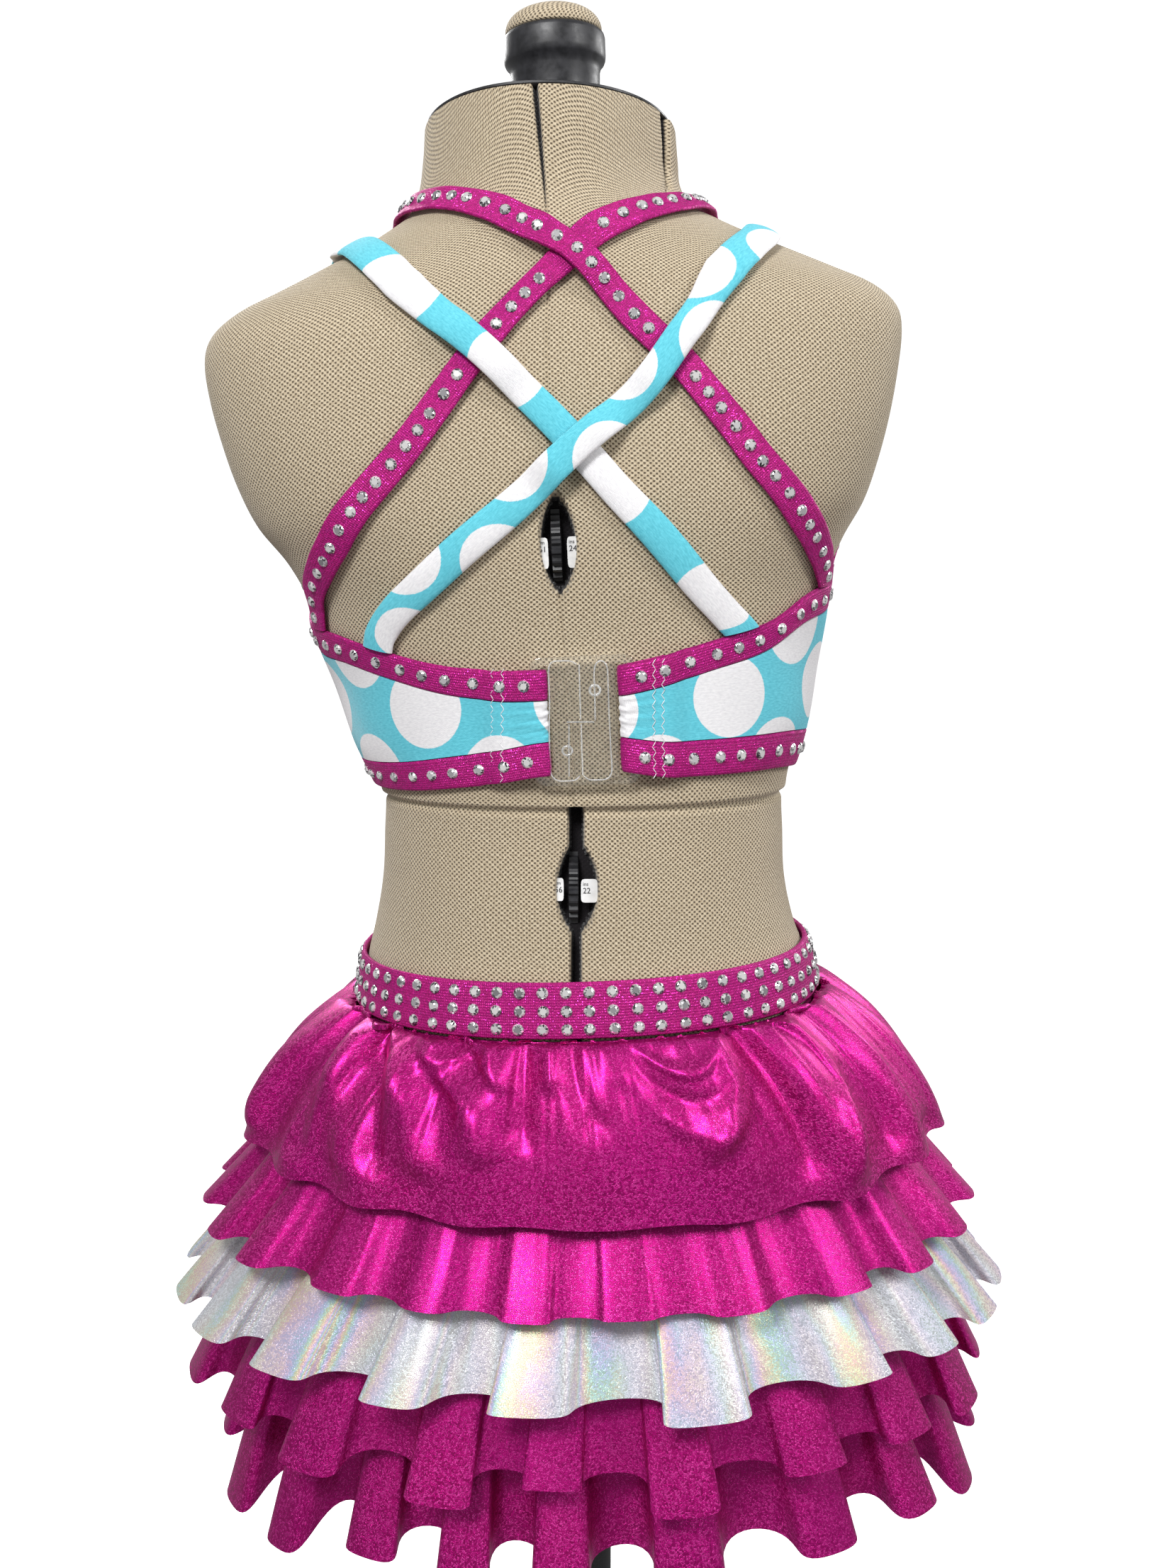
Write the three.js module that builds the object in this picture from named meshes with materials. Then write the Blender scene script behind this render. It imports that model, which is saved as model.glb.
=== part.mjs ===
// A child's two-piece dance costume, worn by a limbless dress form on a stand.
// Millimetres, +Z up, the ground at z = 0. The wearer faces -Y and the wearer's left is +X.
// Every cloth piece is a closed wall. Places on the form are given by a bearing, in degrees from the centre back
// towards the wearer's left (0 centre back, 90 left side, 180 centre front, -90 right side), and a height.
import * as THREE from "three";

// Sizes of the form and its stand
const FORM_COLUMNS = 36;
const LEAN_ANGLE = THREE.MathUtils.degToRad(2.6);
const LEAN_PIVOT_Z = 552;
const LEAN_START_Z = 540;
const LEAN_BLEND = 40;
const FORM_BOTTOM_Z = 290;
const NECK_TOP_Z = 850;
const NECK_SLANT = 0.2;
const NECK_BACK = 46;
const NECK_PLATE_THICKNESS = 2;
const POLE_RADIUS = 11.5;
const BASE_RADIUS = 140;
const BASE_THICKNESS = 14;
const BASE_ROUNDING = 4;
const KNOB_RADIUS = 22.5;
const KNOB_NECK_RADIUS = 19;
const KNOB_TOP_Z = 884;
const KNOB_RING_HEIGHT = 9;
const KNOB_COLUMNS = 28;
const PAD_RADIUS = 21.3;
const PAD_HEIGHT = 11.5;
const PAD_RINGS = 5;
const PAD_LAST_RING = 0.94;

// Sizes of the cloth
const SEAM_GAP = 0.3;
const BODY_GAP = 1.0;
const JERSEY = 1.4;
const BINDING = 2.2;
const TIER_CLOTH = 1.2;
const BASE_CLOTH = 1.0;
const WAISTBAND_CLOTH = 2.6;
const UPPER_BINDING_WIDTH = 12.6;
const LOWER_BINDING_WIDTH = 14.4;
const BAND_LIFT = BODY_GAP + BINDING / 2;

// Sizes of the straps
const HALTER = { width: 12.5, thickness: 2.4, gap: 1.5 };
const CROSS = { width: 14, thickness: 3.0, gap: 1.0 };
const STRAP_STEPS = 26;
const STRAP_END_GAP = 0.45;
const STRAP_SECTION = [
  { across: -0.5, through: -0.22 },
  { across: -0.36, through: -0.5 },
  { across: 0.36, through: -0.5 },
  { across: 0.5, through: -0.22 },
  { across: 0.5, through: 0.22 },
  { across: 0.36, through: 0.5 },
  { across: -0.36, through: 0.5 },
  { across: -0.5, through: 0.22 },
];
const CROSSING_FLAT = 10;
const CROSSING_RAMP = 16;
const CROSSING_CLEARANCE = 0.7;

// Sizes of the clasp
const CLASP_BOTTOM_Z = 561.5;
const CLASP_TOP_Z = 615.5;
const CLASP_INNER_LIFT = 3.7;
const CLASP_BAR = 1.5;
const CLASP_CLEARANCE = 0.5;
const CLASP_EAR = 21.4;
const CLASP_SLOT = { from: 13.4, to: 17.7 };
const CLASP_ARM = 3.2;
const CLASP_CORNER = 4.5;
const CLASP_CORNER_STEPS = 4;
const CLASP_STEP = 5.4;
const CLASP_STEP_Z = 588.4;
const CLASP_GAP = 0.3;
const TURN_X = 17.6;
const TURNED_BACK_X = 34;

const MAGENTA = 0xd0158c;
const AQUA = 0x62c6d6;
const HOLO = 0xd6d6e2;
const KNIT = 0xa89a7c;
const BLACK = 0x17171a;
const CLEAR = 0xd9dde0;

// The form's rings: height, half width, depth behind and before the middle, squareness of the ring, and how far
// its middle lies to the wearer's left
const FORM_RINGS = [
  { z: 290, half: 98, back: 84, front: 79, square: 2.2, side: 0 },
  { z: 296, half: 106, back: 92, front: 87, square: 2.2, side: 0 },
  { z: 320, half: 110, back: 95, front: 90, square: 2.2, side: 0 },
  { z: 360, half: 112, back: 97, front: 93, square: 2.2, side: 0 },
  { z: 400, half: 111.5, back: 96, front: 94, square: 2.2, side: 0 },
  { z: 430, half: 109, back: 93, front: 93, square: 2.2, side: 0 },
  { z: 456, half: 105.5, back: 89, front: 91, square: 2.2, side: 0 },
  { z: 475, half: 102.5, back: 85.5, front: 88, square: 2.2, side: 0.5 },
  { z: 490, half: 98, back: 81.5, front: 85, square: 2.2, side: 1.5 },
  { z: 511, half: 94, back: 78, front: 82, square: 2.2, side: 2 },
  { z: 533, half: 94, back: 75.5, front: 80, square: 2.2, side: 2 },
  { z: 556, half: 94.5, back: 74, front: 78, square: 2.2, side: 2 },
  { z: 580, half: 103, back: 73, front: 77, square: 2.2, side: 2 },
  { z: 605, half: 108.5, back: 73, front: 76, square: 2.2, side: 3 },
  { z: 627, half: 114.5, back: 73, front: 76, square: 2.3, side: 4.5 },
  { z: 643, half: 118, back: 74, front: 76, square: 2.4, side: 5 },
  { z: 660, half: 125.5, back: 75, front: 76, square: 2.6, side: 5.5 },
  { z: 676, half: 136, back: 75, front: 75, square: 2.8, side: 6.5 },
  { z: 693, half: 143, back: 74, front: 73, square: 2.9, side: 7 },
  { z: 712, half: 148.5, back: 72, front: 70, square: 3, side: 7 },
  { z: 733, half: 153, back: 69, front: 67, square: 3, side: 7 },
  { z: 750, half: 154.8, back: 66, front: 63, square: 2.9, side: 6.5 },
  { z: 760, half: 152, back: 63.5, front: 59, square: 2.8, side: 5.5 },
  { z: 769, half: 142, back: 61.5, front: 56, square: 2.6, side: 4.5 },
  { z: 776, half: 127.5, back: 60, front: 53, square: 2.4, side: 4 },
  { z: 783, half: 112, back: 58, front: 50, square: 2.3, side: 4 },
  { z: 792, half: 92, back: 56, front: 47, square: 2.2, side: 4.5 },
  { z: 800, half: 76, back: 53, front: 45, square: 2.15, side: 5 },
  { z: 808, half: 64, back: 50, front: 44, square: 2.1, side: 5.5 },
  { z: 820, half: 58, back: 48, front: 43, square: 2.1, side: 5.5 },
  { z: 836, half: 56, back: 47, front: 42, square: 2.1, side: 4.5 },
  { z: 850, half: 55, back: 46, front: 42, square: 2.1, side: 4 },
];

// The heights of the form's own rings, closest where its outline bends most
const FORM_MESH_HEIGHTS = [
  290, 296, 320, 360, 400, 430, 456, 490, 511, 533, 556, 580, 605, 627, 643, 660, 676, 693, 712, 733, 750, 760, 769,
  776, 784, 792, 798, 804, 811, 820, 850,
];

// The band's edges on the back wings, from the clasp to the side seam
const LEFT_WING_EDGES = [
  { at: 0, low: 566, high: 610.6 },
  { at: 9, low: 565.7, high: 610.6 },
  { at: 18, low: 563, high: 611 },
  { at: 31, low: 560.5, high: 615 },
  { at: 45, low: 558, high: 622.5 },
  { at: 58, low: 557, high: 629 },
  { at: 73, low: 557, high: 632.5 },
  { at: 90, low: 558, high: 640 },
];
const RIGHT_WING_EDGES = [
  { at: 0, low: 567.5, high: 610.6 },
  { at: 7, low: 567.3, high: 610.6 },
  { at: 19, low: 563.6, high: 614 },
  { at: 31, low: 563, high: 619.5 },
  { at: 45, low: 563, high: 626 },
  { at: 58, low: 563, high: 637 },
  { at: 73, low: 562, high: 641 },
  { at: 90, low: 561, high: 645 },
];
// The front panel's edges, from one side seam round the centre front to the other
const FRONT_EDGES = [
  { at: 90, low: 558, high: 640 },
  { at: 97, low: 558, high: 658 },
  { at: 106, low: 557, high: 679 },
  { at: 118, low: 556, high: 697 },
  { at: 132, low: 556, high: 709 },
  { at: 146, low: 556, high: 714 },
  { at: 158, low: 556, high: 707 },
  { at: 169, low: 556, high: 698 },
  { at: 180, low: 556, high: 694 },
  { at: 191, low: 556, high: 698 },
  { at: 202, low: 556, high: 707 },
  { at: 214, low: 556, high: 714 },
  { at: 228, low: 557, high: 709 },
  { at: 242, low: 558, high: 697 },
  { at: 254, low: 559, high: 679 },
  { at: 263, low: 560, high: 661 },
  { at: 270, low: 561, high: 645 },
];
const ARMHOLE_END = 146;
const FRONT_STATIONS = 32;
const FRONT_PANEL_ROWS = 5;
const WING_STATIONS = 12;

// The straps' middle lines, from the band at the back over the form to the front panel
const HALTER_LEFT_ROUTE = [
  { at: 66, z: 636 },
  { at: 60, z: 646 },
  { at: 49.2, z: 658 },
  { at: 40.3, z: 669 },
  { at: 31, z: 685 },
  { at: 24.1, z: 700 },
  { at: 18.2, z: 717 },
  { at: 12.7, z: 735 },
  { at: 6.2, z: 756 },
  { at: 0.5, z: 772 },
  { at: -8, z: 786 },
  { at: -20, z: 794 },
  { at: -36, z: 799 },
  { at: -58, z: 803 },
  { at: -90, z: 805 },
  { at: -122, z: 796 },
  { at: -146, z: 776 },
  { at: -158, z: 748 },
  { at: -163, z: 722 },
  { at: -165, z: 704 },
];
const HALTER_RIGHT_ROUTE = [
  { at: -68, z: 639 },
  { at: -62.8, z: 647 },
  { at: -52.3, z: 659 },
  { at: -42.5, z: 672 },
  { at: -33.3, z: 690 },
  { at: -26, z: 711 },
  { at: -19.2, z: 733 },
  { at: -11.8, z: 754 },
  { at: -5.1, z: 777 },
  { at: 0.5, z: 786 },
  { at: 8.5, z: 794 },
  { at: 20, z: 801 },
  { at: 40, z: 807 },
  { at: 66, z: 809 },
  { at: 92, z: 809 },
  { at: 122, z: 799 },
  { at: 146, z: 776 },
  { at: 158, z: 748 },
  { at: 163, z: 722 },
  { at: 165, z: 704 },
];
const CROSS_LEFT_ROUTE = [
  { at: -37.2, z: 621 },
  { at: -32.9, z: 630 },
  { at: -27.8, z: 640 },
  { at: -21.9, z: 653 },
  { at: -11.4, z: 678 },
  { at: -4.5, z: 698 },
  { at: 4.2, z: 723 },
  { at: 12.6, z: 746 },
  { at: 22.4, z: 766 },
  { at: 34, z: 779 },
  { at: 50, z: 788 },
  { at: 68, z: 791 },
  { at: 90, z: 792 },
  { at: 118, z: 784 },
  { at: 136, z: 767 },
  { at: 142, z: 748 },
  { at: 144.5, z: 730 },
  { at: 146, z: 716 },
];
const CROSS_RIGHT_ROUTE = [
  { at: 43.3, z: 624.5 },
  { at: 40.5, z: 629 },
  { at: 35, z: 638 },
  { at: 27.5, z: 648 },
  { at: 19.9, z: 659 },
  { at: 7.3, z: 678 },
  { at: -3.2, z: 699 },
  { at: -13.5, z: 721 },
  { at: -19.8, z: 744 },
  { at: -25.8, z: 765 },
  { at: -36, z: 777 },
  { at: -53, z: 786 },
  { at: -70, z: 790.5 },
  { at: -90, z: 792 },
  { at: -118, z: 784 },
  { at: -136, z: 767 },
  { at: -142, z: 748 },
  { at: -144.5, z: 730 },
  { at: -146, z: 716 },
];

// The skirt's rings. fold is the share of the fold depth at that ring, rise lifts the ring at the sides, and side
// moves it to the wearer's left.
const BASE_SKIRT_RINGS = [
  { z: 455.4, half: 107.6, back: 91.1, front: 93.1, fold: 0, rise: 0, square: 2.2, side: 0 },
  { z: 420, half: 113, back: 98, front: 98, fold: 0, rise: 0, square: 2.2, side: 0 },
  { z: 360, half: 120, back: 102.5, front: 102.5, fold: 0, rise: 0, square: 2.15, side: 0 },
  { z: 302, half: 123, back: 104.5, front: 104.5, fold: 0, rise: 0, square: 2.1, side: 0 },
];
const TIER_RINGS = [
  [
    { z: 455.2, half: 109.3, back: 92.9, front: 94.9, fold: 0.12, rise: 0, square: 2.2, side: 0 },
    { z: 457, half: 118.5, back: 99, front: 101, fold: 0.45, rise: 7, square: 2.2, side: 0 },
    { z: 437, half: 138.5, back: 109, front: 110, fold: 0.9, rise: 3, square: 2.15, side: -1 },
    { z: 413, half: 154, back: 117, front: 118, fold: 0.8, rise: 1, square: 2.1, side: -2 },
    { z: 387, half: 164, back: 123, front: 123, fold: 0.5, rise: 9, square: 2.05, side: -2.5 },
  ],
  [
    { z: 424, half: 113.4, back: 98.7, front: 98.7, fold: 0.1, rise: 0, square: 2.2, side: 0 },
    { z: 418, half: 132, back: 105, front: 106, fold: 0.5, rise: 0, square: 2.15, side: 0 },
    { z: 390, half: 151, back: 111.5, front: 112, fold: 0.6, rise: 0, square: 2.1, side: 0 },
    { z: 353.5, half: 178, back: 132, front: 132, fold: 1, rise: 5, square: 2.05, side: 0 },
  ],
  [
    { z: 388, half: 117.8, back: 102, front: 102, fold: 0.05, rise: 0, square: 2.18, side: 0 },
    { z: 380, half: 140, back: 107, front: 107, fold: 0.3, rise: 0, square: 2.1, side: 0 },
    { z: 354, half: 162, back: 118, front: 118, fold: 0.6, rise: 0, square: 2.05, side: 0 },
    { z: 320, half: 189, back: 137, front: 137, fold: 1, rise: 1, square: 2, side: 0 },
  ],
  [
    { z: 352, half: 121.4, back: 104.3, front: 104.3, fold: 0.03, rise: 0, square: 2.15, side: 0 },
    { z: 344, half: 145, back: 111, front: 111, fold: 0.3, rise: 0, square: 2.1, side: 0 },
    { z: 320, half: 164, back: 120, front: 120, fold: 0.5, rise: 0, square: 2.05, side: 0 },
    { z: 286, half: 181, back: 133, front: 133, fold: 1, rise: -4, square: 2, side: 0 },
  ],
  [
    { z: 318, half: 123.3, back: 105.4, front: 105.4, fold: 0.02, rise: 0, square: 2.12, side: 0 },
    { z: 310, half: 140, back: 110, front: 110, fold: 0.25, rise: 0, square: 2.05, side: 0 },
    { z: 286, half: 159, back: 115, front: 115, fold: 0.5, rise: 0, square: 2, side: -2 },
    { z: 246, half: 171, back: 128, front: 127, fold: 1, rise: 2, square: 2, side: -4 },
  ],
];

// The folds of each tier: the bearing of the crest, how far it stands out, how much lower its hem hangs, how
// strongly it rounds into a pipe, and how far it falls over sideways.
const TIER_FOLDS = [
  [
    { at: -170, out: 3, drop: 1, curl: 0, lean: 0 },
    { at: -146, out: 4, drop: 1, curl: 0, lean: 1 },
    { at: -121, out: 5, drop: 2, curl: 0, lean: -1 },
    { at: -100, out: 5, drop: 1, curl: 1, lean: 0 },
    { at: -80, out: 6, drop: 2, curl: 1, lean: 2 },
    { at: -61, out: 6, drop: 2, curl: 1, lean: -2 },
    { at: -42, out: 5, drop: 3, curl: 1, lean: 2 },
    { at: -21, out: 3, drop: 1, curl: 0, lean: 0 },
    { at: 0, out: 2, drop: 0, curl: 0, lean: 0 },
    { at: 19, out: 3, drop: 1, curl: 0, lean: 0 },
    { at: 37, out: 4, drop: 2, curl: 0, lean: 0 },
    { at: 54, out: 5, drop: 2, curl: 1, lean: -1 },
    { at: 73, out: 6, drop: 1, curl: 1, lean: 2 },
    { at: 94, out: 5, drop: 1, curl: 1, lean: 0 },
    { at: 116, out: 4, drop: 2, curl: 0, lean: 0 },
    { at: 141, out: 4, drop: 1, curl: 0, lean: 1 },
    { at: 166, out: 3, drop: 1, curl: 0, lean: 0 },
  ],
  [
    { at: -172, out: 3, drop: 1, curl: 0, lean: 0 },
    { at: -153, out: 3, drop: 1, curl: 0, lean: 0 },
    { at: -135, out: 4, drop: 1, curl: 1, lean: 0 },
    { at: -119, out: 4, drop: 2, curl: 0, lean: 0 },
    { at: -101, out: 4, drop: 1, curl: 0, lean: 1 },
    { at: -84, out: 4, drop: 1, curl: 0, lean: 0 },
    { at: -66, out: 4, drop: 2, curl: 0, lean: -1 },
    { at: -50, out: 4, drop: 1, curl: 1, lean: 0 },
    { at: -35, out: 3, drop: 1, curl: 1, lean: 1 },
    { at: -20, out: 3, drop: 1, curl: 0, lean: 0 },
    { at: -5, out: 3, drop: 0, curl: 0, lean: 0 },
    { at: 9, out: 3, drop: 1, curl: 0, lean: 0 },
    { at: 24, out: 3, drop: 0, curl: 0, lean: 0 },
    { at: 37, out: 3, drop: 1, curl: 0, lean: 0 },
    { at: 50, out: 4, drop: 1, curl: 1, lean: -1 },
    { at: 65, out: 4, drop: 2, curl: 1, lean: 1 },
    { at: 82, out: 4, drop: 1, curl: 0, lean: 0 },
    { at: 99, out: 4, drop: 1, curl: 0, lean: 0 },
    { at: 117, out: 4, drop: 2, curl: 1, lean: 0 },
    { at: 134, out: 3, drop: 1, curl: 0, lean: 0 },
    { at: 151, out: 3, drop: 1, curl: 0, lean: 0 },
    { at: 169, out: 3, drop: 0, curl: 0, lean: 0 },
  ],
  [
    { at: -170, out: 6, drop: 2, curl: 2, lean: 0 },
    { at: -151, out: 7, drop: 3, curl: 2, lean: 0 },
    { at: -134, out: 7, drop: 3, curl: 2, lean: 1 },
    { at: -116, out: 7, drop: 3, curl: 2, lean: 0 },
    { at: -99, out: 7, drop: 2, curl: 2, lean: 0 },
    { at: -81, out: 8, drop: 3, curl: 2, lean: 0 },
    { at: -64, out: 8, drop: 4, curl: 2, lean: 1 },
    { at: -49, out: 7, drop: 3, curl: 2, lean: 0 },
    { at: -34, out: 6, drop: 3, curl: 1, lean: 1 },
    { at: -14, out: 6, drop: 4, curl: 2, lean: 0 },
    { at: 4, out: 6, drop: 2, curl: 1, lean: 0 },
    { at: 21, out: 6, drop: 3, curl: 2, lean: 0 },
    { at: 39, out: 7, drop: 3, curl: 2, lean: -1 },
    { at: 56, out: 8, drop: 3, curl: 2, lean: 1 },
    { at: 74, out: 8, drop: 3, curl: 2, lean: 0 },
    { at: 92, out: 7, drop: 2, curl: 2, lean: 0 },
    { at: 110, out: 7, drop: 3, curl: 2, lean: 0 },
    { at: 127, out: 7, drop: 3, curl: 2, lean: 0 },
    { at: 147, out: 6, drop: 2, curl: 2, lean: 1 },
    { at: 168, out: 6, drop: 3, curl: 2, lean: 0 },
  ],
  [
    { at: -168, out: 7, drop: 3, curl: 2, lean: 0 },
    { at: -147, out: 8, drop: 4, curl: 2.5, lean: 0 },
    { at: -128, out: 8, drop: 4, curl: 2.5, lean: 1 },
    { at: -107, out: 8, drop: 5, curl: 2.5, lean: 0 },
    { at: -86, out: 8, drop: 3, curl: 2.5, lean: 0 },
    { at: -66, out: 9, drop: 4, curl: 2.5, lean: 0 },
    { at: -47, out: 8, drop: 4, curl: 2.5, lean: 1 },
    { at: -29, out: 7, drop: 4, curl: 2, lean: 0 },
    { at: -12, out: 7, drop: 8, curl: 2, lean: 0 },
    { at: 4, out: 6, drop: 2, curl: 1.5, lean: 0 },
    { at: 18, out: 7, drop: 7, curl: 2, lean: 0 },
    { at: 37, out: 8, drop: 5, curl: 2.5, lean: -1 },
    { at: 56, out: 9, drop: 3, curl: 2.5, lean: 0 },
    { at: 76, out: 8, drop: 4, curl: 2.5, lean: 0 },
    { at: 97, out: 8, drop: 4, curl: 2.5, lean: 0 },
    { at: 117, out: 8, drop: 5, curl: 2.5, lean: 1 },
    { at: 138, out: 8, drop: 3, curl: 2.5, lean: 0 },
    { at: 164, out: 7, drop: 5, curl: 2.5, lean: 0 },
  ],
  [
    { at: -173, out: 9, drop: 3, curl: 2.5, lean: 0 },
    { at: -155, out: 10, drop: 4, curl: 2.5, lean: 0 },
    { at: -138, out: 10, drop: 4, curl: 2.5, lean: 0 },
    { at: -121, out: 10, drop: 4, curl: 2.5, lean: 0 },
    { at: -104, out: 10, drop: 3, curl: 2.5, lean: 0 },
    { at: -87, out: 13, drop: 4, curl: 2.5, lean: 0 },
    { at: -69, out: 13, drop: 3, curl: 2.5, lean: 0 },
    { at: -51, out: 10, drop: 4, curl: 2.5, lean: 0 },
    { at: -34.5, out: 9, drop: 4, curl: 2.5, lean: 0 },
    { at: -13, out: 9, drop: 6, curl: 2.5, lean: 0 },
    { at: 4, out: 8, drop: 3, curl: 2, lean: 0 },
    { at: 18, out: 9, drop: 5, curl: 2, lean: 0 },
    { at: 34, out: 9, drop: 3, curl: 2.5, lean: 0 },
    { at: 48, out: 9, drop: 2, curl: 2, lean: 0 },
    { at: 64, out: 10, drop: 4, curl: 2.5, lean: 0 },
    { at: 82, out: 10, drop: 3, curl: 2.5, lean: 0 },
    { at: 99, out: 10, drop: 4, curl: 2.5, lean: 0 },
    { at: 116, out: 10, drop: 3, curl: 2.5, lean: 0 },
    { at: 133, out: 10, drop: 4, curl: 2.5, lean: 0 },
    { at: 151, out: 10, drop: 4, curl: 2.5, lean: 0 },
    { at: 169, out: 9, drop: 4, curl: 2.5, lean: 0 },
  ],
];
const COLUMNS_PER_FOLD = [5, 4, 6, 6, 6];
const BASE_SKIRT_COLUMNS = 36;
const WAISTBAND_COLUMNS = 40;
const WAISTBAND_LOW_Z = 456.4;
const WAISTBAND_HIGH_Z = 479.4;
const SKIRT_TILT = 3.2;
const SKIRT_TILT_FOOT = 350;
const SKIRT_TILT_RUN = 100;

const clamp01 = (value) => Math.min(1, Math.max(0, value));
const smooth = (t) => clamp01(t) * clamp01(t) * (3 - 2 * clamp01(t));
const mix = (from, to, share) => from + (to - from) * share;
const radians = THREE.MathUtils.degToRad;
const spread = (from, to, count) => Array.from({ length: count + 1 }, (_, i) => mix(from, to, i / count));

// The value of one column of a table between its rows, as a smooth curve through them, with `key` as the ruler.
function readTable(table, key, column, place) {
  const last = table.length - 1;
  const spot = Math.min(table[last][key], Math.max(table[0][key], place));
  let row = 0;
  while (row < last - 1 && table[row + 1][key] < spot) row += 1;
  const slopeAt = (i) => {
    const before = table[Math.max(0, i - 1)];
    const after = table[Math.min(last, i + 1)];
    return (after[column] - before[column]) / (after[key] - before[key]);
  };
  const span = table[row + 1][key] - table[row][key];
  const t = (spot - table[row][key]) / span;
  const start = table[row][column];
  const end = table[row + 1][column];
  const startSlope = slopeAt(row) * span;
  const endSlope = slopeAt(row + 1) * span;
  const cube = t * t * t;
  const square = t * t;
  return (
    (2 * cube - 3 * square + 1) * start +
    (cube - 2 * square + t) * startSlope +
    (3 * square - 2 * cube) * end +
    (cube - square) * endSlope
  );
}

// A point of a rounded ring: a superellipse with its own depth behind and before the middle.
function ringPoint(ring, bearing, z) {
  const across = Math.sin(radians(bearing));
  const along = Math.cos(radians(bearing));
  const power = Math.abs(across) ** ring.square + Math.abs(along) ** ring.square;
  const scale = power ** (-1 / ring.square);
  const depth = along >= 0 ? ring.back : ring.front;
  return new THREE.Vector3(ring.side + ring.half * across * scale, depth * along * scale, z);
}

function formRing(z) {
  return {
    half: readTable(FORM_RINGS, "z", "half", z),
    back: readTable(FORM_RINGS, "z", "back", z),
    front: readTable(FORM_RINGS, "z", "front", z),
    square: readTable(FORM_RINGS, "z", "square", z),
    side: readTable(FORM_RINGS, "z", "side", z),
  };
}

// The form's surface before it leans, with its outward normal and its directions along the ring and upward.
function formFrame(bearing, z) {
  const step = 0.5;
  const point = ringPoint(formRing(z), bearing, z);
  const around = ringPoint(formRing(z), bearing + step, z).sub(ringPoint(formRing(z), bearing - step, z));
  const low = Math.max(FORM_BOTTOM_Z, z - step);
  const high = Math.min(NECK_TOP_Z, z + step);
  const upward = ringPoint(formRing(high), bearing, high).sub(ringPoint(formRing(low), bearing, low));
  const perDegree = around.length() / (2 * step);
  const perHeight = upward.length() / (high - low);
  around.normalize();
  upward.normalize();
  const normal = upward.clone().cross(around).normalize();
  return { point, normal, around, upward, perDegree, perHeight };
}

function onForm(bearing, z, lift) {
  const frame = formFrame(bearing, z);
  return frame.point.addScaledVector(frame.normal, lift);
}

// The upper body leans a little towards the wearer's left, so all that it wears is turned with it.
function lean(point) {
  const angle = LEAN_ANGLE * smooth((point.z - LEAN_START_Z) / LEAN_BLEND);
  const rise = point.z - LEAN_PIVOT_Z;
  return new THREE.Vector3(
    point.x * Math.cos(angle) + rise * Math.sin(angle),
    point.y,
    LEAN_PIVOT_Z + rise * Math.cos(angle) - point.x * Math.sin(angle),
  );
}

// A closed mesh from a list of points and a list of triangles, all of them leaned with the form.
function bodyMesh(name, points, triangles, material) {
  const geometry = new THREE.BufferGeometry();
  geometry.setAttribute("position", new THREE.Float32BufferAttribute(points.map(lean).flatMap((p) => p.toArray()), 3));
  geometry.setIndex(triangles.flat());
  geometry.computeVertexNormals();
  const mesh = new THREE.Mesh(geometry, material);
  mesh.name = name;
  return mesh;
}

// A wall between two grids of points of the same size: grid[row][column]. A ring joins its last column to its first.
function wall(name, outer, inner, isRing, material) {
  const rows = outer.length;
  const columns = outer[0].length;
  const points = [...outer.flat(), ...inner.flat()];
  const insideStart = rows * columns;
  const triangles = [];
  const quad = (a, b, c, d) => triangles.push([a, b, c], [a, c, d]);
  const lastColumn = isRing ? columns : columns - 1;
  for (let row = 0; row < rows - 1; row += 1) {
    for (let column = 0; column < lastColumn; column += 1) {
      const next = (column + 1) % columns;
      const a = row * columns + column;
      const b = row * columns + next;
      const c = (row + 1) * columns + next;
      const d = (row + 1) * columns + column;
      quad(a, b, c, d);
      quad(insideStart + d, insideStart + c, insideStart + b, insideStart + a);
    }
  }
  for (let column = 0; column < lastColumn; column += 1) {
    const next = (column + 1) % columns;
    const top = (rows - 1) * columns;
    quad(insideStart + column, insideStart + next, next, column);
    quad(top + column, top + next, insideStart + top + next, insideStart + top + column);
  }
  if (!isRing) {
    for (let row = 0; row < rows - 1; row += 1) {
      const first = row * columns;
      const above = first + columns;
      const end = first + columns - 1;
      const endAbove = above + columns - 1;
      quad(insideStart + first, first, above, insideStart + above);
      quad(end, insideStart + end, insideStart + endAbove, endAbove);
    }
  }
  return bodyMesh(name, points, triangles, material);
}

// A solid of stacked rings, closed by a flat fan at its foot and its top.
function stackedSolid(name, rings, material) {
  const columns = rings[0].length;
  const points = rings.flat();
  const triangles = [];
  for (let row = 0; row < rings.length - 1; row += 1) {
    for (let column = 0; column < columns; column += 1) {
      const next = (column + 1) % columns;
      const a = row * columns + column;
      const b = row * columns + next;
      const c = b + columns;
      const d = a + columns;
      triangles.push([a, b, c], [a, c, d]);
    }
  }
  const top = (rings.length - 1) * columns;
  for (let column = 1; column < columns - 1; column += 1) {
    triangles.push([0, column + 1, column]);
    triangles.push([top, top + column, top + column + 1]);
  }
  return bodyMesh(name, points, triangles, material);
}

// The neck's top is cut on a slant, lower at the front, and level from side to side in spite of the lean.
function neckDrop(point) {
  return NECK_SLANT * (NECK_BACK - point.y) - point.x * Math.tan(LEAN_ANGLE);
}

function neckCut(point) {
  point.z -= neckDrop(point);
  return point;
}

const formBearings = Array.from({ length: FORM_COLUMNS }, (_, i) => (-360 * i) / FORM_COLUMNS);

function formBody(material) {
  const ring = (z) => formBearings.map((bearing) => ringPoint(formRing(z), bearing, z));
  const stack = FORM_MESH_HEIGHTS.map((z) => (z === NECK_TOP_Z ? ring(z).map(neckCut) : ring(z)));
  return stackedSolid("form_body", stack, material);
}

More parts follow.
